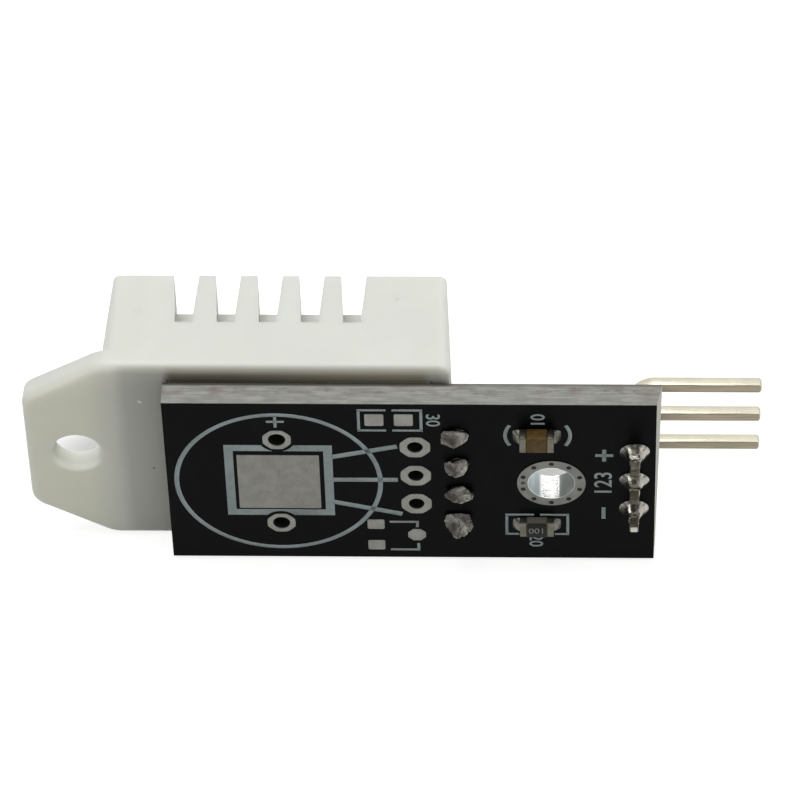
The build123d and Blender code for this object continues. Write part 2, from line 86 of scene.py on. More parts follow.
# Place, width and height of each lamp, and where both point, in metres
OVERHEAD_LAMP = ((-0.09, 0.07, 0.42), 0.34, 0.26)
SIDE_LAMP = ((0.42, -0.05, 0.09), 0.20, 0.12)
LAMP_TARGET = (-0.009, 0.004, 0.0)

# Small marks on the case: place and radius, and how dark or light each one is
CASE_MARKS = (
    ((-24.11, 6.55, 7.64), 0.20, 0.94),
    # The next mark is a darker spot painted as the shade of a small dent on the top wall
    ((-9.03, 7.54, 7.58), 0.10, 0.88),
    ((-23.39, 1.85, -1.03), 0.05, 0.22),
    ((-23.95, 1.85, 4.94), 0.05, 1.22),
    ((-23.85, 1.85, 4.84), 0.05, 1.22),
    ((-26.91, 1.85, 1.02), 0.06, 0.72),
)

# Rows of plated holes: node, count, width of a pad, width of a hole, and sides of a pad, 0 if round
PLATED_ROWS = (
    ("round_part_pads", 2, 1.75, 1.00, 8),
    ("spare_row_pads", 3, 1.88, 0.90, 8),
    ("lead_pads", 4, 1.60, 0.90, 0),
    ("header_pads", 3, 1.80, 1.00, 0),
)

# Solder on the sensor's leads: lead, roughness of its faces, and their corners from the lead:
# along the board, out of it and up
LEAD_CAPS = (
    (4, 0.045, ((-0.80, 0.12, 0.57), (-1.00, 0.20, 0.36), (-0.98, 0.45, -0.22), (-0.22, 0.85, -0.16),
                (0.45, 0.45, -0.07), (0.66, 0.20, 0.21), (0.57, 0.15, 0.36), (-0.15, 0.25, 0.66))),
    (3, 0.045, ((-0.89, 0.20, 0.35), (-0.75, 0.45, -0.27), (-0.18, 0.90, -0.17), (0.32, 0.70, -0.19),
                (0.52, 0.45, 0.03), (0.56, 0.30, 0.47), (0.35, 0.12, 0.67), (-0.22, 0.35, 0.56))),
    (2, 0.055, ((-0.86, 0.30, 0.23), (-0.82, 0.40, 0.04), (-0.22, 0.80, -0.07), (0.22, 0.80, -0.07),
                (0.69, 0.50, 0.15), (0.62, 0.30, 0.53), (0.22, 0.12, 0.72), (-0.39, 0.25, 0.60),
                (0.92, 0.10, 0.00), (0.79, 0.28, -0.33))),
    (1, 0.110, ((-0.72, 0.15, 0.66), (-0.09, 0.12, 0.76), (0.60, 0.15, 0.74), (0.75, 0.35, 0.36),
                (0.72, 0.60, -0.31), (0.28, 0.95, -0.33), (-0.19, 1.12, -0.38), (-0.59, 0.70, -0.20),
                (-0.92, 0.30, 0.21))),
)


def box_mm(node):
    """Low and high corner of a node's box, in millimetres."""
    return [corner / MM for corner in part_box(node)]


def centre_of(node):
    """Middle of a node's box, in millimetres."""
    low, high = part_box(node)
    return (low + high) / 2 / MM


def shade(colour, factor):
    return tuple(part * factor for part in colour[:3])


def tint(colour, red, green, blue):
    return (colour[0] * red, colour[1] * green, colour[2] * blue)


# Materials


class NodeMaker:
    """Short ways to add nodes to a shader tree and to join them."""

    def __init__(self, tree, coordinates):
        self.tree = tree
        self.place = self.add("ShaderNodeTexCoord").outputs[coordinates]

    def add(self, kind, **settings):
        node = self.tree.nodes.new(kind)
        for key, value in settings.items():
            setattr(node, key, value)
        return node

    def put(self, socket, value):
        if isinstance(value, bpy.types.NodeSocket):
            self.tree.links.new(value, socket)
        else:
            socket.default_value = value

    def axis(self, letter, vector=None):
        node = self.add("ShaderNodeSeparateXYZ")
        self.put(node.inputs[0], vector or self.place)
        return node.outputs[letter]

    def math(self, operation, first, second=0.0, third=0.0, clamp=False):
        node = self.add("ShaderNodeMath", operation=operation, use_clamp=clamp)
        for socket, value in zip(node.inputs, (first, second, third)):
            self.put(socket, value)
        return node.outputs[0]

    def times(self, first, *others):
        """Product of two or more values."""
        for other in others:
            first = self.math("MULTIPLY", first, other)
        return first

    def opposite(self, value):
        """0 where a value is 1, and 1 where it is 0."""
        return self.math("SUBTRACT", 1.0, value)

    def length(self, first, second):
        """Length of the long side of a right triangle."""
        squares = self.math("ADD", self.math("POWER", first, 2.0), self.math("POWER", second, 2.0))
        return self.math("SQRT", squares)

    def band(self, value, low, high, start=0.0, end=1.0):
        """Smooth step of a value from start to end as it goes from low to high."""
        node = self.add("ShaderNodeMapRange", interpolation_type="SMOOTHSTEP")
        for socket, number in zip(node.inputs, (value, low, high, start, end)):
            self.put(socket, number)
        return node.outputs[0]


class Finish(NodeMaker):
    """A node material in the making."""

    def __init__(self, name, **sockets):
        self.material = bpy.data.materials.new(name)
        self.material.use_nodes = True
        super().__init__(self.material.node_tree, "Object")
        self.shader = self.tree.nodes["Principled BSDF"]
        for socket, value in sockets.items():
            self.shader.inputs[socket.replace("_", " ")].default_value = value

    def mm(self, letter):
        """Place along an axis, in millimetres."""
        return self.math("DIVIDE", self.axis(letter), MM)

    def stretch(self, scale, vector=None, turn=(0, 0, 0)):
        """Coordinates in units of the given sizes in millimetres along each axis."""
        node = self.add("ShaderNodeMapping")
        self.put(node.inputs["Vector"], vector or self.place)
        node.inputs["Scale"].default_value = [1 / (size * MM) for size in scale]
        node.inputs["Rotation"].default_value = turn
        return node.outputs["Vector"]

    def noise(self, size, detail=3.0, rough=0.55, warp=0.0, vector=None):
        """Smooth noise whose features have this size in millimetres, one number or three."""
        sizes = size if isinstance(size, tuple) else (size, size, size)
        node = self.add("ShaderNodeTexNoise")
        self.put(node.inputs["Vector"], self.stretch(sizes, vector))
        node.inputs["Scale"].default_value = 1.0
        node.inputs["Detail"].default_value = detail
        node.inputs["Roughness"].default_value = rough
        node.inputs["Distortion"].default_value = warp
        return node.outputs["Fac"]

    def cells(self, size):
        """Distance to the nearest of scattered points, this many millimetres apart."""
        node = self.add("ShaderNodeTexVoronoi")
        self.put(node.inputs["Vector"], self.stretch((size, size, size)))
        node.inputs["Scale"].default_value = 1.0
        return node.outputs["Distance"]

    def mix(self, factor, first, second):
        node = self.add("ShaderNodeMix", data_type="RGBA")
        self.put(node.inputs[0], factor)
        self.put(node.inputs[6], (*first, 1.0) if isinstance(first, tuple) else first)
        self.put(node.inputs[7], (*second, 1.0) if isinstance(second, tuple) else second)
        return node.outputs[2]

    def facing(self, letter):
        """1 where the surface faces along this axis, 0 elsewhere."""
        normal = self.add("ShaderNodeNewGeometry").outputs["Normal"]
        part = self.math("ABSOLUTE", self.axis(letter, normal))
        return self.band(part, 0.55, 0.75)

    def radius_xz(self, centre_x, centre_z):
        """Distance in millimetres from an axis across the board."""
        across = self.math("SUBTRACT", self.mm("X"), centre_x)
        up = self.math("SUBTRACT", self.mm("Z"), centre_z)
        return self.length(across, up)

    def spot(self, place, radius):
        """1 within this many millimetres of a point, fading to 0 at twice that."""
        node = self.add("ShaderNodeVectorMath", operation="DISTANCE")
        self.put(node.inputs[0], self.place)
        node.inputs[1].default_value = [part * MM for part in place]
        return self.band(node.outputs["Value"], 2 * radius * MM, radius * MM)

    def colour(self, value):
        self.put(self.shader.inputs["Base Color"], value)

    def roughness(self, value):
        self.put(self.shader.inputs["Roughness"], value)

    def bump(self, height, depth):
        """Relief from a height between 0 and 1, this many millimetres deep."""
        node = self.add("ShaderNodeBump")
        node.inputs["Distance"].default_value = depth * MM
        self.put(node.inputs["Height"], height)
        self.put(self.shader.inputs["Normal"], node.outputs["Normal"])


def mask_and_laminate_finish(mask_colour, edge_colour):
    """Black solder mask on the board's two faces, and bare glass laminate on its cut edges."""
    f = Finish("mask_and_laminate", Specular_IOR_Level=0.03)
    face = f.facing("Y")
    cut = f.opposite(face)
    depth, across = f.mm("Y"), f.mm("X")

    smudge = f.band(f.noise(3.0, 4), 0.5, 0.75)
    dust = f.times(f.band(f.cells(0.75), 0.10, 0.04), f.band(f.noise(1.3), 0.55, 0.68))
    mask = f.mix(smudge, tuple(mask_colour), shade(mask_colour, 1.7))
    mask = f.mix(f.times(dust, 0.5), mask, shade(mask_colour, 14))

    # The glass fibres run along each cut edge, whichever way it goes
    run = f.add("ShaderNodeCombineXYZ")
    f.put(run.inputs["X"], f.math("ADD", f.axis("X"), f.axis("Z")))
    f.put(run.inputs["Y"], f.axis("Y"))

    def fibres(length, thickness, detail):
        return f.noise((length, thickness, 1.0), detail, 0.62, vector=run.outputs[0])

    layers = fibres(2.4, 0.13, 3.0)
    edge = f.mix(f.band(layers, 0.30, 0.70), shade(edge_colour, 0.80), shade(edge_colour, 1.14))
    deep = f.times(f.band(depth, 0.55, 0.95), f.band(depth, 1.5, 1.2))
    cloud = f.band(fibres(1.5, 0.55, 2.0), 0.42, 0.64)
    stain = f.times(f.band(fibres(0.7, 0.26, 2.0), 0.52, 0.66), deep)
    red = f.times(cloud, deep, f.band(f.noise(1.9), 0.46, 0.62))
    edge = f.mix(f.times(cloud, 0.45), edge, shade(edge_colour, 0.62))
    edge = f.mix(f.times(stain, 0.38), edge, shade(edge_colour, 0.42))
    edge = f.mix(f.times(red, 0.42), edge, (0.24, 0.13, 0.13))

    # Painted light on the end where the board was snapped off, painted shade at the back of its top that is
    # strongest under the case, and dark along both rims
    # Painted light: the snapped-off end face is paler, as if lit from the right
    painted_end_light = f.times(f.facing("X"), f.band(across, 5.8, 6.0))
    edge = f.mix(f.times(painted_end_light, 0.8), edge, shade(edge_colour, 1.9))
    # Painted shade: the back of the top edge is darker, most of all where the case overhangs it
    shaded_top_back = f.times(f.facing("Z"), f.band(depth, BOARD_BACK - 0.30, BOARD_BACK - 0.12))
    shade_strength = f.math("MULTIPLY_ADD", f.band(across, -5.4, -6.2), 0.55, 0.35)
    edge = f.mix(f.times(shaded_top_back, shade_strength), edge, (0.045, 0.042, 0.035))
    rims = f.math("ADD", f.band(depth, 0.05, 0.0), f.band(depth, BOARD_BACK - 0.05, BOARD_BACK))
    edge = f.mix(f.math("MULTIPLY", rims, 0.8, clamp=True), edge, shade(mask_colour, 3))

    f.colour(f.mix(face, edge, mask))
    f.roughness(f.math("MULTIPLY_ADD", cut, 0.35, f.band(f.noise(0.9), 0.3, 0.7, 0.34, 0.46)))
    f.bump(f.math("ADD", f.times(f.noise(0.22), 0.25), f.times(layers, cut, 0.5)), 0.025)
    return f.material


def ink_finish(colour):
    """Screened ink: slightly uneven cover and soft gloss."""
    f = Finish("board_ink", Specular_IOR_Level=0.2)
    thin = f.band(f.noise(0.35, 4, 0.65), 0.38, 0.62)
    wide = f.band(f.noise(2.2), 0.35, 0.7)
    even = f.mix(thin, shade(colour, 0.84), tuple(colour))
    f.colour(f.mix(wide, even, shade(colour, 1.12)))
    f.roughness(f.band(f.noise(0.5), 0.3, 0.7, 0.45, 0.65))
    f.bump(f.noise(0.09, 2), 0.006)
    return f.material


def tinned_finish(name, colour, barrel_radius=None):
    """Hot tinned copper: mottled and finely scratched; in a large barrel it is like a mirror, with a painted
    reflection on its wall.
    """
    f = Finish(name, Metallic=1.0)
    mottle = f.band(f.noise(0.8, 5, 0.6, 0.4), 0.35, 0.7)
    grain = f.noise(0.09, 2)
    scratch = f.band(f.noise((0.05, 0.5, 1.6), 2), 0.60, 0.72)
    base = f.mix(mottle, shade(colour, 0.88), shade(colour, 1.08))
    base = f.mix(f.times(scratch, 0.35), base, shade(colour, 1.3))
    rough = f.band(grain, 0.3, 0.7, 0.32, 0.48)
    relief = f.math("MULTIPLY_ADD", grain, 0.35, f.noise(0.5, 3))
    if barrel_radius:
        # Painted reflection: the barrel's wall is bright between its two duller sides; the ring has one dark
        # smudge
        inside = f.band(f.radius_xz(*MOUNT_HOLE), barrel_radius + 0.05, barrel_radius + 0.02)
        across = f.mm("X")
        left = f.band(across, -0.50, -0.72)
        right = f.band(across, 0.36, 0.52)
        sides = f.math("ADD", left, right, clamp=True)
        wall = f.mix(left, (0.90, 0.90, 0.87), (0.56, 0.62, 0.64))
        wall = f.mix(right, wall, (0.34, 0.36, 0.35))
        base = f.mix(f.spot((-1.66, 0.0, 0.02), 0.09), base, shade(colour, 0.25))
        base = f.mix(inside, base, wall)
        rough = f.times(rough, f.math("MULTIPLY_ADD", inside, -0.68, 1.0))
        rough = f.math("MULTIPLY_ADD", f.times(inside, sides), 0.30, rough)
        ripple = f.times(f.noise((0.5, 0.20, 0.5), 2, 0.5, 0.8), f.opposite(sides))
        relief = f.math("ADD", relief, f.times(inside, ripple, 4.0))
    f.colour(base)
    f.roughness(rough)
    f.bump(relief, 0.012)
    return f.material


def solder_finish(name, colour, rough, grain, tarnish, flux=(0.06, 0.045, 0.03), contrast=0.14, painted_shade_spots=()):
    """Set solder, bright or dull; the spots of painted shade are listed last, each with a place, a radius
    and a strength.
    """
    f = Finish(name, Metallic=1.0)
    cloud = f.band(f.noise(0.55, 4, 0.6, 0.6), 0.40, 0.62)
    base = f.mix(cloud, shade(colour, 1 - contrast), shade(colour, 1 + contrast / 2))
    spots = f.times(f.band(f.noise(0.3, 4, 0.7), 0.56, 0.70), tarnish)
    base = f.mix(spots, base, flux)
    # Painted shade and dark reflections, darkest in the middle of each spot
    for place, radius, amount in painted_shade_spots:
        base = f.mix(f.times(f.spot(place, radius), amount), base, (0.045, 0.040, 0.032))
    f.colour(base)
    f.roughness(f.band(f.noise(0.35), 0.3, 0.7, *rough))
    f.bump(f.math("MULTIPLY_ADD", f.noise(0.07, 3), 0.5, f.noise(0.28, 2)), grain)
    return f.material


def drawn_metal_finish(name, colour, sheared_and_shade, along, soldered_end=False):
    """Drawn and sheared pin stock: bright rolled faces, duller sheared ones, lines along its run. On the
    header pins the duller faces' darker colour is partly painted shade of their front faces.
    """
    f = Finish(name, Metallic=1.0)
    cut = f.facing("Y")
    lines = f.noise({"X": (2.4, 0.035, 0.035), "Y": (0.05, 1.8, 0.05)}[along], 3)
    patch = f.band(f.noise(1.1, 3), 0.35, 0.7)
    bright = f.mix(patch, shade(colour, 0.90), tuple(colour))
    # Faces across Y are rougher where sheared; their darker colour is partly painted shade
    dull = f.mix(f.band(lines, 0.4, 0.6), shade(sheared_and_shade, 0.75), shade(sheared_and_shade, 1.15))
    metal = f.mix(cut, bright, dull)
    rough = f.math("MULTIPLY_ADD", cut, 0.16, f.band(lines, 0.35, 0.65, 0.18, 0.30))
    if soldered_end:
        # A dull film lies on the end that was soldered; the tips carry a painted reflection, dark on the
        # upper pins and bright on the lowest pin
        depth = f.mm("Y")
        end = f.band(depth, -0.55, -0.85)
        film = f.mix(f.noise((0.12, 0.5, 0.12), 3), (0.055, 0.052, 0.040), (0.14, 0.13, 0.10))
        metal = f.mix(end, metal, film)
        # Painted reflection on the cut tips, dark above and bright on the lowest pin
        painted_tip_reflection = f.mix(f.band(f.mm("Z"), -0.8, -1.4), (0.10, 0.095, 0.075), (0.55, 0.54, 0.50))
        metal = f.mix(f.band(depth, -1.69, -1.73), metal, painted_tip_reflection)
        rough = f.math("MULTIPLY_ADD", end, 0.22, rough)
        lines = f.times(lines, f.opposite(end))
    f.colour(metal)
    f.roughness(rough)
    f.bump(lines, 0.006)
    return f.material


def moulded_finish(name, colour, roughness, bleed=0.0, marks_and_painted_light=None):
    """Moulded plastic: faint flow clouds, fine texture and a little light under the skin."""
    f = Finish(name, Specular_IOR_Level=0.30, Subsurface_Weight=bleed, Subsurface_Scale=1.5 * MM)
    f.shader.inputs["Subsurface Radius"].default_value = (1.0, 0.90, 0.68)
    flow = f.band(f.noise(4.5, 3, 0.5, 0.5), 0.35, 0.7)
    base = f.mix(flow, shade(colour, 0.965), tuple(colour))
    warm = f.band(f.noise(7.0, 2), 0.5, 0.72)
    base = f.mix(f.times(warm, 0.35), base, tint(colour, 1.0, 0.975, 0.93))
    f.colour(marks_and_painted_light(f, base, colour) if marks_and_painted_light else base)
    f.roughness(f.band(f.noise(0.5), 0.3, 0.7, roughness - 0.05, roughness + 0.07))
    f.bump(f.math("MULTIPLY_ADD", f.noise(0.12, 2), 0.35, f.noise(1.4, 2)), 0.008)
    return f.material


def case_marks_and_painted_light(f, base, colour):
    """Tones of the case: painted light on the thin ear, painted shadow of the board on the back, painted
    shade in the gap over the board, and small marks.
    """
    depth, across = f.mm("Y"), f.mm("X")
    back = f.band(depth, 2.25, 1.9)
    # Painted light: the back of the thin ear is lighter and warmer
    ear = f.times(back, f.band(across, -25.0, -27.6))
    base = f.mix(ear, base, tint(colour, 1.16, 1.16, 1.08))
    # Painted shadow of the board: the body's back darkens towards the board
    half_way = f.times(f.band(across, -25.6, -22.8), 0.4)
    body = f.math("MULTIPLY_ADD", f.band(across, -25.6, -24.6), 0.6, half_way)
    base = f.mix(f.times(back, body), base, tint(colour, 0.66, 0.66, 0.64))

    # Painted shade in the gap between the case and the top of the board, darkest at the left
    over_board = f.times(f.band(across, -22.6, -21.9), f.band(across, -6.8, -7.6))
    in_gap = f.times(f.band(depth, BOARD_BACK + 0.75, BOARD_BACK + 0.3), f.band(f.mm("Z"), 7.95, 7.0))
    painted_gap_shade = f.times(over_board, in_gap)
    gap_shade_colour = f.mix(f.band(across, -20.0, -8.0), (0.19, 0.165, 0.12), (0.36, 0.32, 0.23))
    base = f.mix(f.times(painted_gap_shade, 0.92), base, gap_shade_colour)
    for place, radius, amount in CASE_MARKS:
        base = f.mix(f.spot(place, radius), base, shade(colour, amount))

    # Painted glow: the lower wall of the ear's hole gives off a faint light, standing for light that comes
    # through the thin ear
    painted_glow = f.times(f.spot((-27.90, 2.40, -0.95), 0.95), f.band(f.radius_xz(*EAR_HOLE), 1.9, 1.45))
    f.shader.inputs["Emission Color"].default_value = (1.0, 1.0, 0.94, 1.0)
    f.put(f.shader.inputs["Emission Strength"], f.times(painted_glow, 0.15))
    return base


def ceramic_finish(name, colour, patch):
    """Fired ceramic or resin: fine grain with soft patches."""
    f = Finish(name, Specular_IOR_Level=0.12)
    f.colour(f.mix(f.band(f.noise(0.35, 4), 0.38, 0.65), tuple(colour), tuple(patch)))
    f.roughness(f.band(f.noise(0.12), 0.3, 0.7, 0.38, 0.55))
    f.bump(f.noise(0.06, 2), 0.008)
    return f.material


def woven_laminate_finish():
    """The sensor's own board: green mask with a faint glass weave."""
    f = Finish("inner_laminate", Specular_IOR_Level=0.4)
    weave = f.add("ShaderNodeTexBrick")
    f.put(weave.inputs["Vector"], f.stretch((0.5, 0.5, 0.5), turn=(math.pi / 2, 0, 0)))
    weave.inputs["Color1"].default_value = (0.030, 0.110, 0.050, 1)
    weave.inputs["Color2"].default_value = (0.036, 0.125, 0.058, 1)
    weave.inputs["Mortar"].default_value = (0.024, 0.090, 0.042, 1)
    weave.inputs["Scale"].default_value = 1.0
    f.colour(f.mix(f.times(f.noise(1.2), 0.4), weave.outputs["Color"], (0.05, 0.15, 0.07)))
    f.roughness(f.band(f.noise(0.6), 0.3, 0.7, 0.3, 0.42))
    f.bump(f.noise(0.2), 0.01)
    return f.material


def element_finish():
    """Humidity element: white ceramic plate with grey comb electrodes standing on it."""
    f = Finish("humidity_ceramic", Specular_IOR_Level=0.35)
    comb_height = 0.03
    plate_top = box_mm("humidity_element")[1].y - comb_height
    raised = f.band(f.mm("Y"), plate_top - 0.01, plate_top)
    plate = f.mix(f.noise(0.5), (0.62, 0.60, 0.52), (0.72, 0.70, 0.62))
    comb = f.mix(f.noise(0.3), (0.10, 0.10, 0.10), (0.20, 0.19, 0.18))
    f.colour(f.mix(raised, plate, comb))
    f.roughness(f.band(f.noise(0.3), 0.3, 0.7, 0.5, 0.7))
    f.bump(f.noise(0.08), 0.01)
    return f.material


def floor_finish(colour, lift):
    """Pale matt floor that reads as white and keeps the object's shadow, with a painted shadow in an oval
    behind the module.
    """
    f = Finish("studio_floor", Specular_IOR_Level=0.0, Roughness=1.0)
    f.shader.inputs["Base Color"].default_value = (*colour, 1.0)
    f.shader.inputs["Emission Color"].default_value = (1.0, 1.0, 1.0, 1.0)
    path = f.add("ShaderNodeLightPath").outputs
    through = f.math("ADD", path["Is Glossy Ray"], path["Is Transmission Ray"])
    seen = f.math("ADD", path["Is Camera Ray"], through, clamp=True)

    # Painted shadow: the floor is darker in an oval close behind the module
    oval_x, oval_y, half_length, half_depth = -13.6, 8.0, 17.5, 4.6
    along = f.math("DIVIDE", f.math("SUBTRACT", f.mm("X"), oval_x), half_length)
    behind = f.math("DIVIDE", f.math("SUBTRACT", f.mm("Y"), oval_y), half_depth)
    painted_shadow = f.band(f.length(along, behind), 0.80, 1.13, 0.22, 1.0)
    f.put(f.shader.inputs["Emission Strength"], f.times(seen, painted_shadow, lift))
    return f.material


# Meshes


def settle(piece, stands_for=()):
    """A finished piece rides on the module, and the nodes that it stands for are hidden."""
    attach(piece, BODY)
    if stands_for:
        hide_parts(*stands_for)


def object_of(name, data):
    """A new object in the scene that shows this mesh, curve, lamp or camera."""
    made = bpy.data.objects.new(name, data)
    bpy.context.scene.collection.objects.link(made)
    return made


def plain_mesh(source, name):
    """Mesh of an object with its text, curve or modifiers worked out; the object itself goes."""
    shown = bpy.context.evaluated_depsgraph_get()
    mesh = bpy.data.meshes.new_from_object(source.evaluated_get(shown), depsgraph=shown)
    bpy.data.objects.remove(source)
    mesh.name = name
    return mesh


def mesh_in_metres(name, build):
    """A mesh from a bmesh in millimetres, with its faces turned outwards."""
    bmesh.ops.recalc_face_normals(build, faces=build.faces)
    mesh = bpy.data.meshes.new(name)
    build.to_mesh(mesh)
    build.free()
    mesh.transform(Matrix.Scale(MM, 4))
    return mesh


def smooth_below(mesh, angle):
    """Smooth shading, with a sharp edge wherever faces meet at more than this many degrees."""
    mesh.shade_smooth()
    mesh.set_sharp_from_angle(angle=math.radians(angle))


def piece_from(name, build, material, smooth=40.0):
    """Turns a bmesh in millimetres into an object with its place in its mesh."""
    mesh = mesh_in_metres(name, build)
    mesh.materials.append(material)
    smooth_below(mesh, smooth)
    return object_of(name, mesh)


def paint_node(node, material):
    """Gives a CAD node a finish in its material slots."""
    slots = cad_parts[node].data.materials
    slots.clear()
    slots.append(material)


def rounded_copy(node, material, radius, smooth=40.0, reshape=None):
    """Stands for a node with a merged copy of it whose sharp edges are rounded."""
    build = bmesh.new()
    build.from_mesh(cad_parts[node].data)
    bmesh.ops.scale(build, vec=(1 / MM,) * 3, verts=build.verts)
    bmesh.ops.remove_doubles(build, verts=build.verts, dist=0.0005)
    bmesh.ops.dissolve_limit(build, angle_limit=math.radians(1.0), verts=build.verts, edges=build.edges)
    for vert in build.verts if reshape else ():
        reshape(vert.co)
    sharp = [e for e in build.edges if e.is_manifold and e.calc_face_angle(0.0) > math.radians(30)]
    bmesh.ops.bevel(build, geom=sharp, offset=radius, segments=3, profile=0.5, affect="EDGES",
                    clamp_overlap=True)
    settle(piece_from(f"{node}_rounded", build, material, smooth), (node,))


def add_rings(build, rings, hollow=False):
    """Skins a list of equal rings; a hollow one joins its last ring to its first, others are closed."""
    made = [[build.verts.new(point) for point in ring] for ring in rings]
    count = len(made[0])
    following = made[1:] + made[:1] if hollow else made[1:]
    for low, high in zip(made, following):
        for i in range(count):
            j = (i + 1) % count
            build.faces.new((low[i], low[j], high[j], high[i]))
    if not hollow:
        build.faces.new(made[0])
        build.faces.new(made[-1])


def ring(count, radius, depth, centre_x=0.0, centre_z=0.0):
    """Points round an axis across the board; radius is a number or a function of the angle."""
    points = []
    for i in range(count):
        angle = 2 * math.pi * i / count
        reach = radius(angle) if callable(radius) else radius
        points.append((centre_x + reach * math.cos(angle), depth, centre_z + reach * math.sin(angle)))
    return points


def square_ring(half, depth, centre_x, centre_z):
    """Corners of a square round an axis across the board."""
    corners = ((-1, -1), (1, -1), (1, 1), (-1, 1))
    return [(centre_x + x * half, depth, centre_z + z * half) for x, z in corners]


def polygon_reach(inradius, sides):
    """Distance to the edge of a regular polygon with a flat side up, as a function of the angle."""
    step = 2 * math.pi / sides

    def reach(angle):
        return inradius / math.cos((angle + step / 2) % step - step / 2)

    return reach


def rounded_rectangle(width, tall, corner):
    """Outline of a rectangle round its middle, with an arc at each corner."""
    points = []
    for side_x, side_z, start in ((1, 1, 0), (-1, 1, 90), (-1, -1, 180), (1, -1, 270)):
        for i in range(7):
            angle = math.radians(start + 15 * i)
            points.append((side_x * (width / 2 - corner) + corner * math.cos(angle),
                           side_z * (tall / 2 - corner) + corner * math.sin(angle)))
    return points


def arc(centre, radius, start, end, count):
    """Points along an arc, from one angle in degrees to another."""
    angles = [math.radians(start + (end - start) * i / (count - 1)) for i in range(count)]
    return [(centre[0] + radius * math.cos(a), centre[1] + radius * math.sin(a)) for a in angles]


def half_bracket(side, upright, high, low, upper_end, lower_end):
    """Three lines: a top foot, an upright, which is on the left for -1, and a bottom foot."""
    corner = upright + side * THIN_LINE / 2
    return [[(upper_end, high), (corner, high)], [(upright, high), (upright, low)],
            [(corner, low), (lower_end, low)]]


def scatter(point, seed, size):
    """Smooth noise from -1 to 1 at a point, in features of this size in millimetres."""
    return noise.noise(Vector(point) / size + Vector((seed * 7.13, seed * 3.71, seed * 5.37)))


def add_coat(build, outline, height, centre_x, centre_z):
    """A land whose tin coat is rounded over at its rim and a little fuller inside."""
    reach = min(math.hypot(x, z) for x, z in outline)
    rings = []
    for inset, rise in ((0.0, 0.0), (0.0, 0.45), (0.025, 0.8), (0.06, 0.94), (0.12, 1.0)):
        share = 1 - inset / reach
        rings.append([(centre_x + x * share, -height * rise, centre_z + z * share) for x, z in outline])
    add_rings(build, rings)


def plated_hole(outer, front, hole_radius, height, centre_x, centre_z):
    """One pad on each face, rolled over at both rims and joined by a barrel."""
    count, wall = 64, 0.05

    def pad(outline, face, lift):
        """Section of a pad from its outer rim to the hole's, as radii and depths."""
        rim = [(lambda angle, d=inset: outline(angle) - d, face + lift * rise)
               for inset, rise in ((0.0, 0.0), (0.0, 0.5), (0.03, 0.85), (0.09, 1.0))]
        mouth = [(hole_radius + gap, face + lift * rise)
                 for gap, rise in ((0.08, 1.0), (0.03, 0.8), (0.0, 0.2))]
        return rim + mouth

    section = pad(front, 0.0, -height) + pad(outer, BOARD_BACK, height)[::-1]
    section += [(hole_radius + wall, BOARD_BACK), (hole_radius + wall, 0.0)]
    rings = [ring(count, reach, depth, centre_x, centre_z) for reach, depth in section]
    build = bmesh.new()
    add_rings(build, rings, hollow=True)
    return build


def header_joint(centre, seed, uneven):
    """Solder round a square pin: a plug in the hole, a rim short of the pad's upper edge, a flank."""
    count, plug_radius, rim_radius, height = 56, 0.49, 0.88, 1.02
    pin_half, wobble, lumps = 0.29, 0.07, 0.05
    flank = [(1.0, 0.0)]
    flank += [((1 - t) ** 1.9, t) for t in (0.04, 0.10, 0.18, 0.28, 0.40, 0.53, 0.67, 0.8, 0.9)]
    flank += [(0.0, 1.0), (-0.05, 1.03)]
    rings = [ring(count, plug_radius, depth, centre.x, centre.z) for depth in (BOARD_BACK, -0.03)]
    for share, rise in flank:
        points = []
        for i in range(count):
            angle = 2 * math.pi * i / count
            x, z = math.cos(angle), math.sin(angle)
            rim = rim_radius * (1 + uneven * wobble * scatter((x, z, 0), seed, 0.9))
            rim *= 1 - 0.27 * max(0.0, z) ** 1.5
            pin = pin_half / max(abs(x), abs(z))
            reach = pin + (rim - pin) * share
            ripple = uneven * wobble * 1.3 * scatter((x, 0, z), seed + 5, 1.1)
            depth = -0.05 - height * rise * (1 + ripple)
            lump = uneven * lumps * scatter((reach * x, depth * 1.4, reach * z), seed + 11, 0.42)
            lump *= min(1.0, rise * 4)
            points.append((centre.x + (reach + lump) * x, depth - abs(lump) * 0.5,
                           centre.z + (reach + lump) * z))
        rings.append(points)
    build = bmesh.new()
    add_rings(build, rings)
    return build


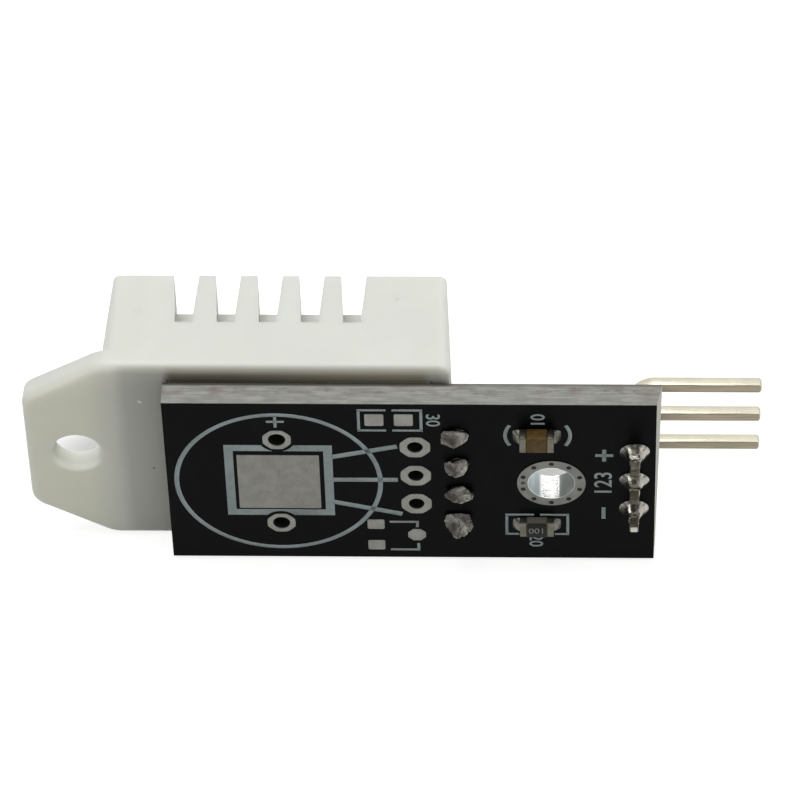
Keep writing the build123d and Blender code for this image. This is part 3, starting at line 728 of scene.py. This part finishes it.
def lead_cap(centre, seed, crags, corners, uneven):
    """Flat-faced solder drawn out to a point over a lead's pad, and a plug in the hole."""
    foot_radius, plug_radius, edge, longest = 0.56, 0.44, 0.05, 0.07
    build = bmesh.new()
    for x, _, z in ring(16, foot_radius, 0.0):
        build.verts.new((x, 0.0, z))
    for x, out, z in corners:
        build.verts.new((x, -out, z))
    hull = bmesh.ops.convex_hull(build, input=build.verts)
    loose = {v for v in hull["geom_interior"] + hull["geom_unused"] if isinstance(v, bmesh.types.BMVert)}
    bmesh.ops.delete(build, geom=list(loose), context="VERTS")
    bmesh.ops.dissolve_limit(build, angle_limit=math.radians(4), verts=build.verts, edges=build.edges)
    sharp = [e for e in build.edges if e.calc_face_angle(0.0) > math.radians(12)]
    bmesh.ops.bevel(build, geom=sharp, offset=edge, segments=2, profile=0.6, affect="EDGES",
                    clamp_overlap=True)
    bmesh.ops.triangulate(build, faces=build.faces)
    for _ in range(3):
        long_edges = [e for e in build.edges if e.calc_length() > longest]
        bmesh.ops.subdivide_edges(build, edges=long_edges, cuts=1)
        bmesh.ops.triangulate(build, faces=build.faces)
    for vert in build.verts:
        free = min(1.0, -vert.co.y / 0.15)
        if free > 0:
            away = (vert.co - Vector((0.0, -0.1, 0.0))).normalized()
            lift = crags * scatter(vert.co, seed, 0.26) + 0.75 * crags * scatter(vert.co, seed + 9, 0.12)
            vert.co += away * lift * free * uneven
    add_rings(build, [ring(24, plug_radius, depth) for depth in (BOARD_BACK, -0.01)])
    bmesh.ops.translate(build, vec=(centre.x, 0.0, centre.z), verts=build.verts)
    return build


def chip_fillet(low, high, side, rise, seed):
    """Solder that climbs a chip's end from its land; side is -1 at the left end and 1 at the right."""
    across, out = 16, 12
    start, end = (low.x, high.x) if side > 0 else (high.x, low.x)
    half, middle = (high.z - low.z) / 2, (low.z + high.z) / 2
    build = bmesh.new()
    grid = []
    for i in range(out + 1):
        u = i / out
        width = half * (1 - 0.18 * u * u)
        line = []
        for j in range(across + 1):
            v = -1 + 2 * j / across
            swell = max(0.0, 1 - u ** 1.6) * max(0.0, 1 - abs(v) ** 3.2) ** 0.55
            depth = -rise * swell * (1 + 0.25 * scatter((u, v, 0), seed, 0.8))
            reach = start + (end - start) * u * (1 - 0.12 * v * v)
            line.append(build.verts.new((reach, depth, middle + v * width)))
        grid.append(line)
    for i in range(out):
        for j in range(across):
            build.faces.new((grid[i][j], grid[i + 1][j], grid[i + 1][j + 1], grid[i][j + 1]))
    bmesh.ops.remove_doubles(build, verts=build.verts, dist=0.0001)
    rim = [e for e in build.edges if e.is_boundary]
    skirt = bmesh.ops.extrude_edge_only(build, edges=rim)["geom"]
    for item in skirt:
        if isinstance(item, bmesh.types.BMVert):
            item.co.y = 0.0
    bmesh.ops.contextual_create(build, geom=[e for e in build.edges if e.is_boundary])
    bmesh.ops.remove_doubles(build, verts=build.verts, dist=0.0001)
    return build


def flat_text(name, text, size, thickness, place, turn, ink, spread=0.0):
    """Numerals on the solder face, turned by degrees about their middle, as a plain mesh."""
    words = bpy.data.curves.new(name, "FONT")
    words.body = text
    words.align_x, words.align_y = "CENTER", "CENTER"
    words.size = size * MM
    words.extrude = thickness / 2 * MM
    words.offset = spread * MM
    mesh = plain_mesh(object_of(f"{name}_source", words), name)
    mesh.transform(Matrix.Rotation(math.radians(turn), 4, "Z"))
    mesh.transform(Matrix.Rotation(math.pi / 2, 4, "X"))
    mesh.transform(Matrix.Translation(Vector(place) * MM))
    mesh.materials.clear()
    mesh.materials.append(ink)
    settle(object_of(name, mesh))


# Geometry Nodes


def new_tree(name, inputs):
    """An empty Geometry Nodes tree with these named inputs and one geometry output."""
    tree = bpy.data.node_groups.new(name, "GeometryNodeTree")
    tree.interface.new_socket("Geometry", in_out="INPUT", socket_type="NodeSocketGeometry")
    for label, kind, default in inputs:
        socket = tree.interface.new_socket(label, in_out="INPUT", socket_type=kind)
        if default is not None:
            socket.default_value = default
    tree.interface.new_socket("Geometry", in_out="OUTPUT", socket_type="NodeSocketGeometry")
    return tree, tree.nodes.new("NodeGroupInput"), tree.nodes.new("NodeGroupOutput")


def join_nodes(tree, *joins):
    """Links nodes; each join is a node, its output, another node and its input."""
    for source, output, target, socket in joins:
        tree.links.new(source.outputs[output], target.inputs[socket])


def run_tree(tree, data, name, values):
    """Runs a tree on a mesh or curve and returns a plain object that holds its result."""
    carrier = object_of(f"{name}_source", data)
    modifier = carrier.modifiers.new("shape", "NODES")
    modifier.node_group = tree
    for item in tree.interface.items_tree:
        if item.in_out == "INPUT" and item.name in values:
            modifier[item.identifier] = values[item.name]
    return object_of(name, plain_mesh(carrier, name))


def printed_line_tree():
    """Flat ink lines of one width along the given paths, drawn on the board's solder face."""
    tree, given, result = new_tree("printed_line", [
        ("Line width", "NodeSocketFloat", 0.0002),
        ("Ink thickness", "NodeSocketFloat", 0.00001),
        ("Ink", "NodeSocketMaterial", None),
    ])
    normal = tree.nodes.new("GeometryNodeSetCurveNormal")
    normal.mode = "Z_UP"
    profile = tree.nodes.new("GeometryNodeCurvePrimitiveQuadrilateral")
    sweep = tree.nodes.new("GeometryNodeCurveToMesh")
    sweep.inputs["Fill Caps"].default_value = True
    turn = tree.nodes.new("GeometryNodeTransform")
    turn.inputs["Rotation"].default_value = (math.pi / 2, 0.0, 0.0)
    realize = tree.nodes.new("GeometryNodeRealizeInstances")
    paint = tree.nodes.new("GeometryNodeSetMaterial")
    join_nodes(
        tree,
        (given, "Geometry", normal, "Curve"),
        (normal, "Curve", sweep, "Curve"),
        (given, "Line width", profile, "Width"),
        (given, "Ink thickness", profile, "Height"),
        (profile, "Curve", sweep, "Profile Curve"),
        (sweep, "Mesh", turn, "Geometry"),
        (turn, "Geometry", realize, "Geometry"),
        (realize, "Geometry", paint, "Geometry"),
        (given, "Ink", paint, "Material"),
        (paint, "Geometry", result, "Geometry"),
    )
    return tree


def row_tree():
    """Copies of the given mesh in a straight row, moved by one step from each to the next."""
    tree, given, result = new_tree("row_of_copies", [
        ("Count", "NodeSocketInt", 3),
        ("Step", "NodeSocketVector", (0.0, 0.0, 0.00254)),
        ("Finish", "NodeSocketMaterial", None),
    ])
    line = tree.nodes.new("GeometryNodeMeshLine")
    place = tree.nodes.new("GeometryNodeInstanceOnPoints")
    realize = tree.nodes.new("GeometryNodeRealizeInstances")
    paint = tree.nodes.new("GeometryNodeSetMaterial")
    join_nodes(
        tree,
        (given, "Count", line, "Count"),
        (given, "Step", line, "Offset"),
        (line, "Mesh", place, "Points"),
        (given, "Geometry", place, "Instance"),
        (place, "Instances", realize, "Geometry"),
        (realize, "Geometry", paint, "Geometry"),
        (given, "Finish", paint, "Material"),
        (paint, "Geometry", result, "Geometry"),
    )
    return tree


# Settings


class StageSettings(bpy.types.PropertyGroup):
    camera_place: FloatVectorProperty(
        name="Camera place", description="Where the camera stands", subtype="XYZ", unit="LENGTH",
        default=(0.0013488, -0.1968793, 0.2335115))
    azimuth: FloatProperty(
        name="Azimuth", description="Turn of the camera round the module", subtype="ANGLE",
        default=math.radians(2.9137))
    elevation: FloatProperty(
        name="Elevation", description="Height of the camera over the horizon", subtype="ANGLE",
        default=math.radians(48.9306))
    roll: FloatProperty(
        name="Roll", description="Turn of the picture", subtype="ANGLE", default=math.radians(-1.9389))
    lens: FloatProperty(name="Lens", description="Focal length in millimetres", default=235.517)
    lamp_power: FloatProperty(
        name="Lamp power", description="Power of the soft lamp overhead", unit="POWER", default=1.1)
    side_power: FloatProperty(
        name="Side lamp power", description="Power of the soft lamp on the right", unit="POWER", default=0.5)
    world_light: FloatProperty(
        name="World light", description="Brightness of the light from all round", default=0.42)
    floor_colour: FloatVectorProperty(
        name="Floor colour", description="Colour of the floor", subtype="COLOR", default=(0.46, 0.46, 0.45))
    floor_lift: FloatProperty(
        name="Floor lift", description="How much the floor is lifted towards white in view", default=0.8)


class BoardSettings(bpy.types.PropertyGroup):
    mask_colour: FloatVectorProperty(
        name="Mask colour", description="Colour of the solder mask", subtype="COLOR",
        default=(0.0020, 0.0023, 0.0025))
    edge_colour: FloatVectorProperty(
        name="Edge colour", description="Colour of the bare laminate", subtype="COLOR",
        default=(0.34, 0.34, 0.31))
    ink_colour: FloatVectorProperty(
        name="Ink colour", description="Colour of the board print", subtype="COLOR",
        default=(0.345, 0.405, 0.405))
    ink_thickness: FloatProperty(
        name="Ink thickness", description="Height of the print over the board", unit="LENGTH",
        default=0.000012)
    tin_colour: FloatVectorProperty(
        name="Tin colour", description="Colour of the tinned copper", subtype="COLOR",
        default=(0.215, 0.213, 0.196))
    tin_height: FloatProperty(
        name="Tin height", description="Height of the tinned pads, in millimetres", default=0.05)


class SolderSettings(bpy.types.PropertyGroup):
    bright_colour: FloatVectorProperty(
        name="Bright solder", description="Colour of the header's solder", subtype="COLOR",
        default=(0.365, 0.355, 0.315))
    dull_colour: FloatVectorProperty(
        name="Dull solder", description="Colour of the sensor leads' solder", subtype="COLOR",
        default=(0.25, 0.238, 0.216))
    unevenness: FloatProperty(
        name="Unevenness", description="How far the joints depart from round", default=1.0, min=0.0, max=2.0)
    seed: IntProperty(name="Seed", description="Number that picks the joints' shapes", default=4)


class HeaderSettings(bpy.types.PropertyGroup):
    pin_colour: FloatVectorProperty(
        name="Pin colour", description="Colour of the pins' bright faces", subtype="COLOR",
        default=(0.71, 0.675, 0.54))
    # The duller faces' colour is partly painted shade of the pins' front faces
    sheared_and_shade_colour: FloatVectorProperty(
        name="Sheared colour", description="Colour of the pins' duller faces", subtype="COLOR",
        default=(0.30, 0.262, 0.195))
    pin_edge: FloatProperty(
        name="Pin edge", description="Rounding of the pins' edges, in millimetres", default=0.05)


class CaseSettings(bpy.types.PropertyGroup):
    plastic_colour: FloatVectorProperty(
        name="Plastic colour", description="Colour of the moulded case", subtype="COLOR",
        default=(0.765, 0.775, 0.72))
    bleed: FloatProperty(
        name="Light under the skin", description="How much light spreads inside the plastic",
        subtype="FACTOR", default=0.5, min=0.0, max=1.0)


class ChipSettings(bpy.types.PropertyGroup):
    ceramic_colour: FloatVectorProperty(
        name="Capacitor colour", description="Colour of the capacitor's body", subtype="COLOR",
        default=(0.125, 0.078, 0.024))
    band_colour: FloatVectorProperty(
        name="Band colour", description="Colour of the chips' end bands", subtype="COLOR",
        default=(0.145, 0.138, 0.108))
    edge: FloatProperty(
        name="Edge", description="Rounding of the chips' edges, in millimetres", default=0.07)


# Stage


def place_camera(given):
    """A camera that looks as its angles say, from its place."""
    level, climb = math.cos(given.elevation), math.sin(given.elevation)
    back = Vector((math.sin(given.azimuth) * level, -math.cos(given.azimuth) * level, climb))
    right = Vector((math.cos(given.azimuth), math.sin(given.azimuth), 0.0))
    up = back.cross(right)
    roll_cos, roll_sin = math.cos(given.roll), math.sin(given.roll)
    rows = (roll_cos * right + roll_sin * up, roll_cos * up - roll_sin * right, back)
    pose = Matrix(rows).transposed().to_4x4()
    pose.translation = given.camera_place
    lens = bpy.data.cameras.new("camera")
    lens.lens = given.lens
    lens.sensor_width = 36.0
    lens.clip_start, lens.clip_end = 0.01, 10.0
    camera = object_of("camera", lens)
    camera.matrix_world = pose
    return camera


def hang_lamp(name, place, width, tall, power):
    """A soft rectangular lamp, turned to the middle of the module."""
    lamp = bpy.data.lights.new(name, "AREA")
    lamp.shape = "RECTANGLE"
    lamp.size, lamp.size_y = width, tall
    lamp.energy = power
    hung = object_of(name, lamp)
    hung.location = place
    hung.rotation_euler = (Vector(LAMP_TARGET) - hung.location).to_track_quat("-Z", "Y").to_euler()
    return hung


def studio_world(strength):
    """White where it is seen; as metal sees it, dimmer low down, on the left and at the photographer."""
    world = bpy.data.worlds.new("studio")
    world.use_nodes = True
    background = world.node_tree.nodes["Background"]
    background.inputs["Color"].default_value = (1.0, 1.0, 1.0, 1.0)
    sky = NodeMaker(world.node_tree, "Generated")
    path = sky.add("ShaderNodeLightPath").outputs
    height = sky.band(sky.axis("Z"), 0.12, 0.62, 0.45, 1.12)
    side = sky.band(sky.axis("X"), -0.85, 0.75, 0.55, 1.2)
    towards = sky.add("ShaderNodeVectorMath", operation="DOT_PRODUCT")
    sky.put(towards.inputs[0], sky.place)
    towards.inputs[1].default_value = Vector((0.03, -0.42, 0.91)).normalized()
    photographer = sky.band(towards.outputs["Value"], 0.76, 0.94, 1.0, 0.10)
    glossy = sky.times(path["Is Glossy Ray"], height, photographer, side)
    seen = sky.math("ADD", path["Is Camera Ray"], path["Is Transmission Ray"], clamp=True)
    other = sky.math("SUBTRACT", sky.opposite(seen), path["Is Glossy Ray"], clamp=True)
    lit = sky.math("MULTIPLY_ADD", other, strength, seen)
    sky.put(background.inputs["Strength"], sky.math("ADD", lit, glossy))
    return world


# Operators


class MODULE_OT_stage(bpy.types.Operator):
    """Set up the camera, the lamps, the world and the floor"""
    bl_idname = "module.stage"
    bl_label = "Stage"

    def execute(self, context):
        scene = context.scene
        given = scene.module_stage
        scene.view_settings.view_transform = "Standard"
        scene.camera = place_camera(given)
        hang_lamp("overhead_lamp", *OVERHEAD_LAMP, given.lamp_power)
        side_lamp = hang_lamp("side_lamp", *SIDE_LAMP, given.side_power)
        side_lamp.visible_glossy = False
        scene.world = studio_world(given.world_light)

        build = bmesh.new()
        bmesh.ops.create_grid(build, x_segments=1, y_segments=1, size=FLOOR_HALF)
        floor = piece_from("floor", build, floor_finish(tuple(given.floor_colour), given.floor_lift))
        floor.data.transform(Matrix.Translation((0.0, 0.0, CAD_BOX[0][2])))
        return {"FINISHED"}


class MODULE_OT_circuit_board(bpy.types.Operator):
    """Give the circuit board its solder mask and its laminate edges"""
    bl_idname = "module.circuit_board"
    bl_label = "Circuit board"

    def execute(self, context):
        given = context.scene.module_board
        finish = mask_and_laminate_finish(tuple(given.mask_colour), tuple(given.edge_colour))
        paint_node("circuit_board", finish)

        # The end by the header is broken off a little slanted, further out at the back and at the top
        low_reach, high_reach = 0.10, 0.32
        high = box_mm("circuit_board")[1]
        build = bmesh.new()
        add_rings(build, [
            ((high.x, 0.0, z), (high.x + reach, BOARD_BACK, z), (high.x, BOARD_BACK, z))
            for z, reach in ((-high.z, low_reach), (high.z, high_reach))])
        settle(piece_from("board_end_slant", build, finish, 20.0))
        return {"FINISHED"}


class MODULE_OT_board_print(bpy.types.Operator):
    """Draw the board's printed outlines, signs and plain numerals"""
    bl_idname = "module.board_print"
    bl_label = "Board print"

    def execute(self, context):
        given = context.scene.module_board
        ink = ink_finish(tuple(given.ink_colour))
        tree = printed_line_tree()
        thickness = given.ink_thickness / MM

        def draw(name, width, paths, closed=False):
            curve = bpy.data.curves.new(name, "CURVE")
            curve.dimensions = "3D"
            for path in paths:
                spline = curve.splines.new("POLY")
                spline.points.add(len(path) - 1)
                for point, (x, z) in zip(spline.points, path):
                    point.co = (x * MM, z * MM, thickness / 2 * MM, 1.0)
                spline.use_cyclic_u = closed
            values = {"Line width": width * MM, "Ink thickness": thickness * MM, "Ink": ink}
            settle(run_tree(tree, curve, name, values))

        draw("round_part_circle", 0.28, [arc(ROUND_PART, ROUND_PART_RADIUS, 0, 357, 120)], closed=True)
        draw("round_part_sign", THIN_LINE,
             [[(-15.94, 5.85), (-15.94, 4.83)], [(-16.46, 5.33), (-15.42, 5.33)]])
        draw("joining_lines", 0.36, [
            [(-12.75, 2.23), (-8.95, 3.19)],
            [(-12.77, 0.18), (-8.95, 0.20)],
            [(-12.79, -1.81), (-8.75, -2.90)],
        ])

        # Brackets round the spare lands and the chips
        draw("pair_bracket", THIN_LINE, half_bracket(-1, -11.11, 6.38, 4.61, -9.53, -9.53)
             + half_bracket(1, -7.51, 6.38, 4.61, -9.18, -9.18))
        draw("trio_bracket", THIN_LINE, [
            [(-9.53, -3.63), (-7.88 + THIN_LINE / 2, -3.63)], [(-7.88, -3.63), (-7.9, -4.11)],
            [(-9.51, -6.19), (-7.85 + THIN_LINE / 2, -6.19)], [(-7.85, -6.19), (-7.85, -5.59)],
        ])
        draw("resistor_bracket", THIN_LINE, half_bracket(-1, -2.62, -2.92, -4.68, -1.02, -1.9)
             + half_bracket(1, 0.96, -2.92, -4.68, -0.67, 0.2))
        draw("capacitor_arcs", 0.22, [
            arc((-1.05, 4.22), 1.62, 147, 213, 14), arc((-0.54, 4.22), 1.62, 33, -33, 14),
        ])
        draw("header_signs", 0.24, [
            [(3.06, 1.95), (3.06, 2.99)], [(2.54, 2.47), (3.58, 2.47)], [(3.06, -3.24), (3.06, -2.2)],
        ])

        # Wide square frame round the square land, kept clear of the two plated holes
        outer, inner = SQUARE_FRAME_OUTER_HALF, SQUARE_FRAME_INNER_HALF
        sides = ((outer, 0.0), (outer, -thickness), (inner, -thickness), (inner, 0.0))
        build = bmesh.new()
        add_rings(build, [square_ring(half, depth, *SQUARE_FRAME) for half, depth in sides], hollow=True)
        source = piece_from("square_frame_source", build, ink)
        build = bmesh.new()
        for place in ROUND_PART_HOLES:
            add_rings(build, [ring(48, HOLE_CLEARANCE, depth, *place) for depth in (-0.5, 0.5)])
        cutter = piece_from("clearance_cutter", build, ink)
        cut = source.modifiers.new("clearance", "BOOLEAN")
        cut.operation, cut.object, cut.solver = "DIFFERENCE", cutter, "EXACT"
        mesh = plain_mesh(source, "square_frame")
        bpy.data.objects.remove(cutter)
        settle(object_of("square_frame", mesh))

        # Plain numerals where the board has its marks; the letters' own size is larger than a numeral
        for name, text, x, z, height, turn in (
                ("header_numerals", "123", 3.07, -0.05, 1.05, 90),
                ("pair_numeral", "30", -6.86, 5.53, 0.82, -90),
                ("capacitor_numeral", "10", -0.74, 5.55, 0.82, 90),
                ("resistor_numeral", "20", -0.94, -5.30, 0.82, -90)):
            flat_text(name, text, height * 1.38, thickness, (x, -thickness / 2, z), turn, ink, 0.012)
        return {"FINISHED"}


class MODULE_OT_lands(bpy.types.Operator):
    """Shape the tinned lands and the plated holes"""
    bl_idname = "module.lands"
    bl_label = "Lands and plated holes"

    def execute(self, context):
        given = context.scene.module_board
        tin = tinned_finish("tinned_copper", tuple(given.tin_colour))
        height = given.tin_height

        low, high = box_mm("square_land")
        middle = centre_of("square_land")
        build = bmesh.new()
        outline = rounded_rectangle(high.x - low.x, high.z - low.z, 0.08)
        add_coat(build, outline, height, middle.x, middle.z)
        worn = tinned_finish("tinned_square_land", shade(given.tin_colour, 0.86))
        settle(piece_from("square_land_coat", build, worn), ("square_land",))

        low, high = box_mm("pair_lands")
        middle = centre_of("pair_lands")
        width = 1.1
        build = bmesh.new()
        for x in (low.x + width / 2, high.x - width / 2):
            add_coat(build, rounded_rectangle(width, high.z - low.z, 0.12), height, x, middle.z)
        settle(piece_from("pair_land_coats", build, tin), ("pair_lands",))

        low, high = box_mm("trio_lands")
        middle = centre_of("trio_lands")
        width, tall, eight_sided = 1.0, 0.88, 1.05
        build = bmesh.new()
        for z in (low.z + tall / 2, high.z - tall / 2):
            add_coat(build, rounded_rectangle(width, tall, 0.12), height, low.x + width / 2, z)
        octagon = [point[::2] for point in ring(32, polygon_reach(eight_sided / 2, 8), 0.0)]
        add_coat(build, octagon, height, high.x - eight_sided / 2, middle.z)
        settle(piece_from("trio_land_coats", build, tin), ("trio_lands",))

        for node, count, width, hole, sides in PLATED_ROWS:
            self.plate_row(node, count, width, hole / 2, sides, height, tin)
        barrel = tinned_finish("tinned_mounting_hole", shade(given.tin_colour, 0.74), MOUNT_RADIUS)
        paint_node("mounting_hole_plating", barrel)
        return {"FINISHED"}

    def plate_row(self, node, count, width, hole_radius, sides, height, tin):
        """A row of plated holes: one of them, repeated by Geometry Nodes as one plain mesh."""
        low, high = box_mm(node)

        def outer(angle):
            return polygon_reach(width / 2, sides)(angle) if sides else width / 2

        def front(angle):
            """The etched corners are soft; under solder nothing shows past the joint."""
            return 0.6 * outer(angle) + 0.4 * width / 2 - 0.05 if sides else 0.58

        build = plated_hole(outer, front, hole_radius, height, (low.x + high.x) / 2, low.z + width / 2)
        step = (high.z - low.z - width) / (count - 1)
        values = {"Count": count, "Step": (0.0, 0.0, step * MM), "Finish": tin}
        piece = run_tree(row_tree(), mesh_in_metres(f"{node}_one", build), f"{node}_coat", values)
        smooth_below(piece.data, 40.0)
        settle(piece, (node,))


class MODULE_OT_header(bpy.types.Operator):
    """Shape the header's pins and its block"""
    bl_idname = "module.header"
    bl_label = "Pin header"

    def execute(self, context):
        given = context.scene.module_header
        bright, dull = tuple(given.pin_colour), tuple(given.sheared_and_shade_colour)
        metal = drawn_metal_finish("pin_metal", bright, dull, "X", soldered_end=True)
        for row in (1, 2, 3):
            centre = centre_of(f"header_joint_{row}")

            def narrow_tip(point):
                """The soldered end is a little narrower than the pin."""
                if point.y < -1.0:
                    point.x = centre.x + (point.x - centre.x) * 0.84
                    point.z = centre.z + (point.z - centre.z) * 0.9

            rounded_copy(f"header_pin_{row}", metal, given.pin_edge, 50.0, narrow_tip)
        plastic = moulded_finish("header_plastic", (0.012, 0.012, 0.013), 0.4)
        rounded_copy("header_block", plastic, 0.06)
        return {"FINISHED"}


class MODULE_OT_solder(bpy.types.Operator):
    """Shape the solder joints of the header's pins, the sensor's leads and the chips"""
    bl_idname = "module.solder"
    bl_label = "Solder joints"

    def execute(self, context):
        given = context.scene.module_solder
        # Painted shadow and dark reflections on each header joint: a dark slot at its top and a dark left
        # flank
        painted_shade_spots = []
        for row in (1, 2, 3):
            centre = centre_of(f"header_joint_{row}")
            painted_shade_spots += [
                ((centre.x - 0.08, -0.30, centre.z + 0.52), 0.12, 0.9),
                ((centre.x - 0.04, -0.55, centre.z + 0.40), 0.11, 0.9),
                ((centre.x - 0.55, -0.42, centre.z - 0.10), 0.34, 0.85),
            ]
        bright = solder_finish("bright_solder", tuple(given.bright_colour), (0.12, 0.26), 0.010, 0.30,
                               painted_shade_spots=painted_shade_spots)
        # Painted shade on the lower left of each lead joint, and in a small pit on lead joint 2
        lead_painted_shade = []
        for row, amount in ((4, 0.55), (3, 0.6), (2, 0.75), (1, 0.45)):
            centre = centre_of(f"lead_joint_{row}")
            lead_painted_shade.append(((centre.x - 0.55, -0.50, centre.z - 0.05), 0.33, amount))
        centre = centre_of("lead_joint_2")
        lead_painted_shade.append(((centre.x - 0.02, -0.80, centre.z + 0.08), 0.09, 0.85))
        dull = solder_finish("dull_solder", tuple(given.dull_colour), (0.20, 0.46), 0.045, 0.6,
                             (0.13, 0.088, 0.048), 0.45, lead_painted_shade)
        small = solder_finish("chip_solder", shade(given.bright_colour, 0.45), (0.26, 0.40), 0.012, 0.5)

        for row in (1, 2, 3):
            node = f"header_joint_{row}"
            build = header_joint(centre_of(node), given.seed + row, given.unevenness)
            settle(piece_from(f"header_solder_{row}", build, bright, 70.0), (node,))

        for row, crags, corners in LEAD_CAPS:
            node = f"lead_joint_{row}"
            build = lead_cap(centre_of(node), given.seed + 20 + 3 * row, crags, corners, given.unevenness)
            settle(piece_from(f"lead_solder_{row}", build, dull, 22.0), (node,))

        seed = given.seed + 50
        for chip, rise in (("capacitor", 0.40), ("resistor", 0.30)):
            for side, word in ((-1, "left"), (1, "right")):
                seed += 3
                node = f"{chip}_joint_{word}"
                build = chip_fillet(*box_mm(node), side, rise, seed)
                settle(piece_from(f"{chip}_solder_{word}", build, small, 60.0), (node,))
        return {"FINISHED"}


class MODULE_OT_chips(bpy.types.Operator):
    """Shape the chip capacitor and the chip resistor"""
    bl_idname = "module.chips"
    bl_label = "Chip parts"

    def execute(self, context):
        given = context.scene.module_chips
        bands = solder_finish("chip_band", tuple(given.band_colour), (0.38, 0.52), 0.012, 0.35)
        brown = ceramic_finish("capacitor_ceramic", given.ceramic_colour, shade(given.ceramic_colour, 0.72))
        pale = ceramic_finish("resistor_ceramic", (0.17, 0.16, 0.135), (0.13, 0.122, 0.10))
        coat = ceramic_finish("resistor_coat", (0.008, 0.008, 0.009), (0.014, 0.014, 0.013))
        rounded_copy("capacitor_body", brown, given.edge)
        rounded_copy("resistor_body", pale, 0.03)
        rounded_copy("resistor_coat", coat, 0.015)
        for chip, edge in (("capacitor", given.edge), ("resistor", 0.05)):
            for side in ("left", "right"):
                rounded_copy(f"{chip}_band_{side}", bands, edge)

        # Plain value digits on the resistor's coat, upside down
        face = box_mm("resistor_coat")[0].y - 0.003
        middle = centre_of("resistor_coat")
        pale_ink = ink_finish((0.30, 0.30, 0.29))
        flat_text("resistor_digits", "100", 0.66, 0.008, (middle.x, face, middle.z), 180, pale_ink)
        return {"FINISHED"}


class MODULE_OT_sensor_leads(bpy.types.Operator):
    """Shape the sensor's four flat leads"""
    bl_idname = "module.sensor_leads"
    bl_label = "Sensor leads"

    def execute(self, context):
        metal = drawn_metal_finish("lead_metal", (0.62, 0.60, 0.55), (0.42, 0.40, 0.36), "Y")

        def sheared_off(point):
            """The lead ends inside its solder."""
            point.y = max(point.y, -0.34)

        for row in (1, 2, 3, 4):
            rounded_copy(f"sensor_lead_{row}", metal, 0.03, 50.0, sheared_off)
        return {"FINISHED"}


class MODULE_OT_sensor_case(bpy.types.Operator):
    """Give the sensor's case and its cover their moulded plastic"""
    bl_idname = "module.sensor_case"
    bl_label = "Sensor case"

    def execute(self, context):
        given = context.scene.module_case
        plastic = moulded_finish("case_plastic", tuple(given.plastic_colour), 0.44, given.bleed, case_marks_and_painted_light)
        paint_node("sensor_case", plastic)
        rounded_copy("case_cover", plastic, 0.08)
        return {"FINISHED"}


class MODULE_OT_sensor_inside(bpy.types.Operator):
    """Finish the parts inside the sensor's case"""
    bl_idname = "module.sensor_inside"
    bl_label = "Sensor inside"

    def execute(self, context):
        legs = drawn_metal_finish("controller_leg_metal", (0.66, 0.65, 0.62), (0.5, 0.49, 0.46), "X")
        wires = drawn_metal_finish("bead_wire", (0.64, 0.62, 0.58), (0.6, 0.58, 0.54), "X")
        terminals = solder_finish("terminal_metal", (0.6, 0.59, 0.56), (0.3, 0.45), 0.01, 0.2)
        bead = ceramic_finish("bead_resin", (0.03, 0.035, 0.03), (0.05, 0.055, 0.045))
        black = moulded_finish("chip_plastic", (0.018, 0.018, 0.019), 0.5)
        paint_node("inner_board", woven_laminate_finish())
        paint_node("humidity_element", element_finish())
        paint_node("element_terminals", terminals)
        paint_node("thermistor_bead", bead)
        paint_node("thermistor_wires", wires)
        paint_node("controller_legs", legs)
        rounded_copy("controller_chip", black, 0.04)
        return {"FINISHED"}


# Panel and registration

STEPS = (
    MODULE_OT_stage,
    MODULE_OT_circuit_board,
    MODULE_OT_board_print,
    MODULE_OT_lands,
    MODULE_OT_header,
    MODULE_OT_solder,
    MODULE_OT_chips,
    MODULE_OT_sensor_leads,
    MODULE_OT_sensor_case,
    MODULE_OT_sensor_inside,
)
SETTINGS = (
    ("module_stage", StageSettings),
    ("module_board", BoardSettings),
    ("module_solder", SolderSettings),
    ("module_header", HeaderSettings),
    ("module_case", CaseSettings),
    ("module_chips", ChipSettings),
)


class MODULE_PT_panel(bpy.types.Panel):
    """Lists the steps that dress the module"""
    bl_idname = "MODULE_PT_panel"
    bl_label = "Sensor Module"
    bl_space_type = "VIEW_3D"
    bl_region_type = "UI"
    bl_category = "Sensor Module"

    def draw(self, context):
        for step in STEPS:
            self.layout.operator(step.bl_idname)
        for name, group in SETTINGS:
            box = self.layout.box()
            for key in group.__annotations__:
                box.prop(getattr(context.scene, name), key)


def register():
    for name, group in SETTINGS:
        bpy.utils.register_class(group)
        setattr(bpy.types.Scene, name, PointerProperty(type=group))
    for item in (*STEPS, MODULE_PT_panel):
        bpy.utils.register_class(item)


def unregister():
    for item in reversed((*STEPS, MODULE_PT_panel)):
        bpy.utils.unregister_class(item)
    for name, group in reversed(SETTINGS):
        delattr(bpy.types.Scene, name)
        bpy.utils.unregister_class(group)


def main():
    register()
    for step in STEPS:
        group, action = step.bl_idname.split(".")
        getattr(getattr(bpy.ops, group), action)()


if __name__ == "__main__":
    main()
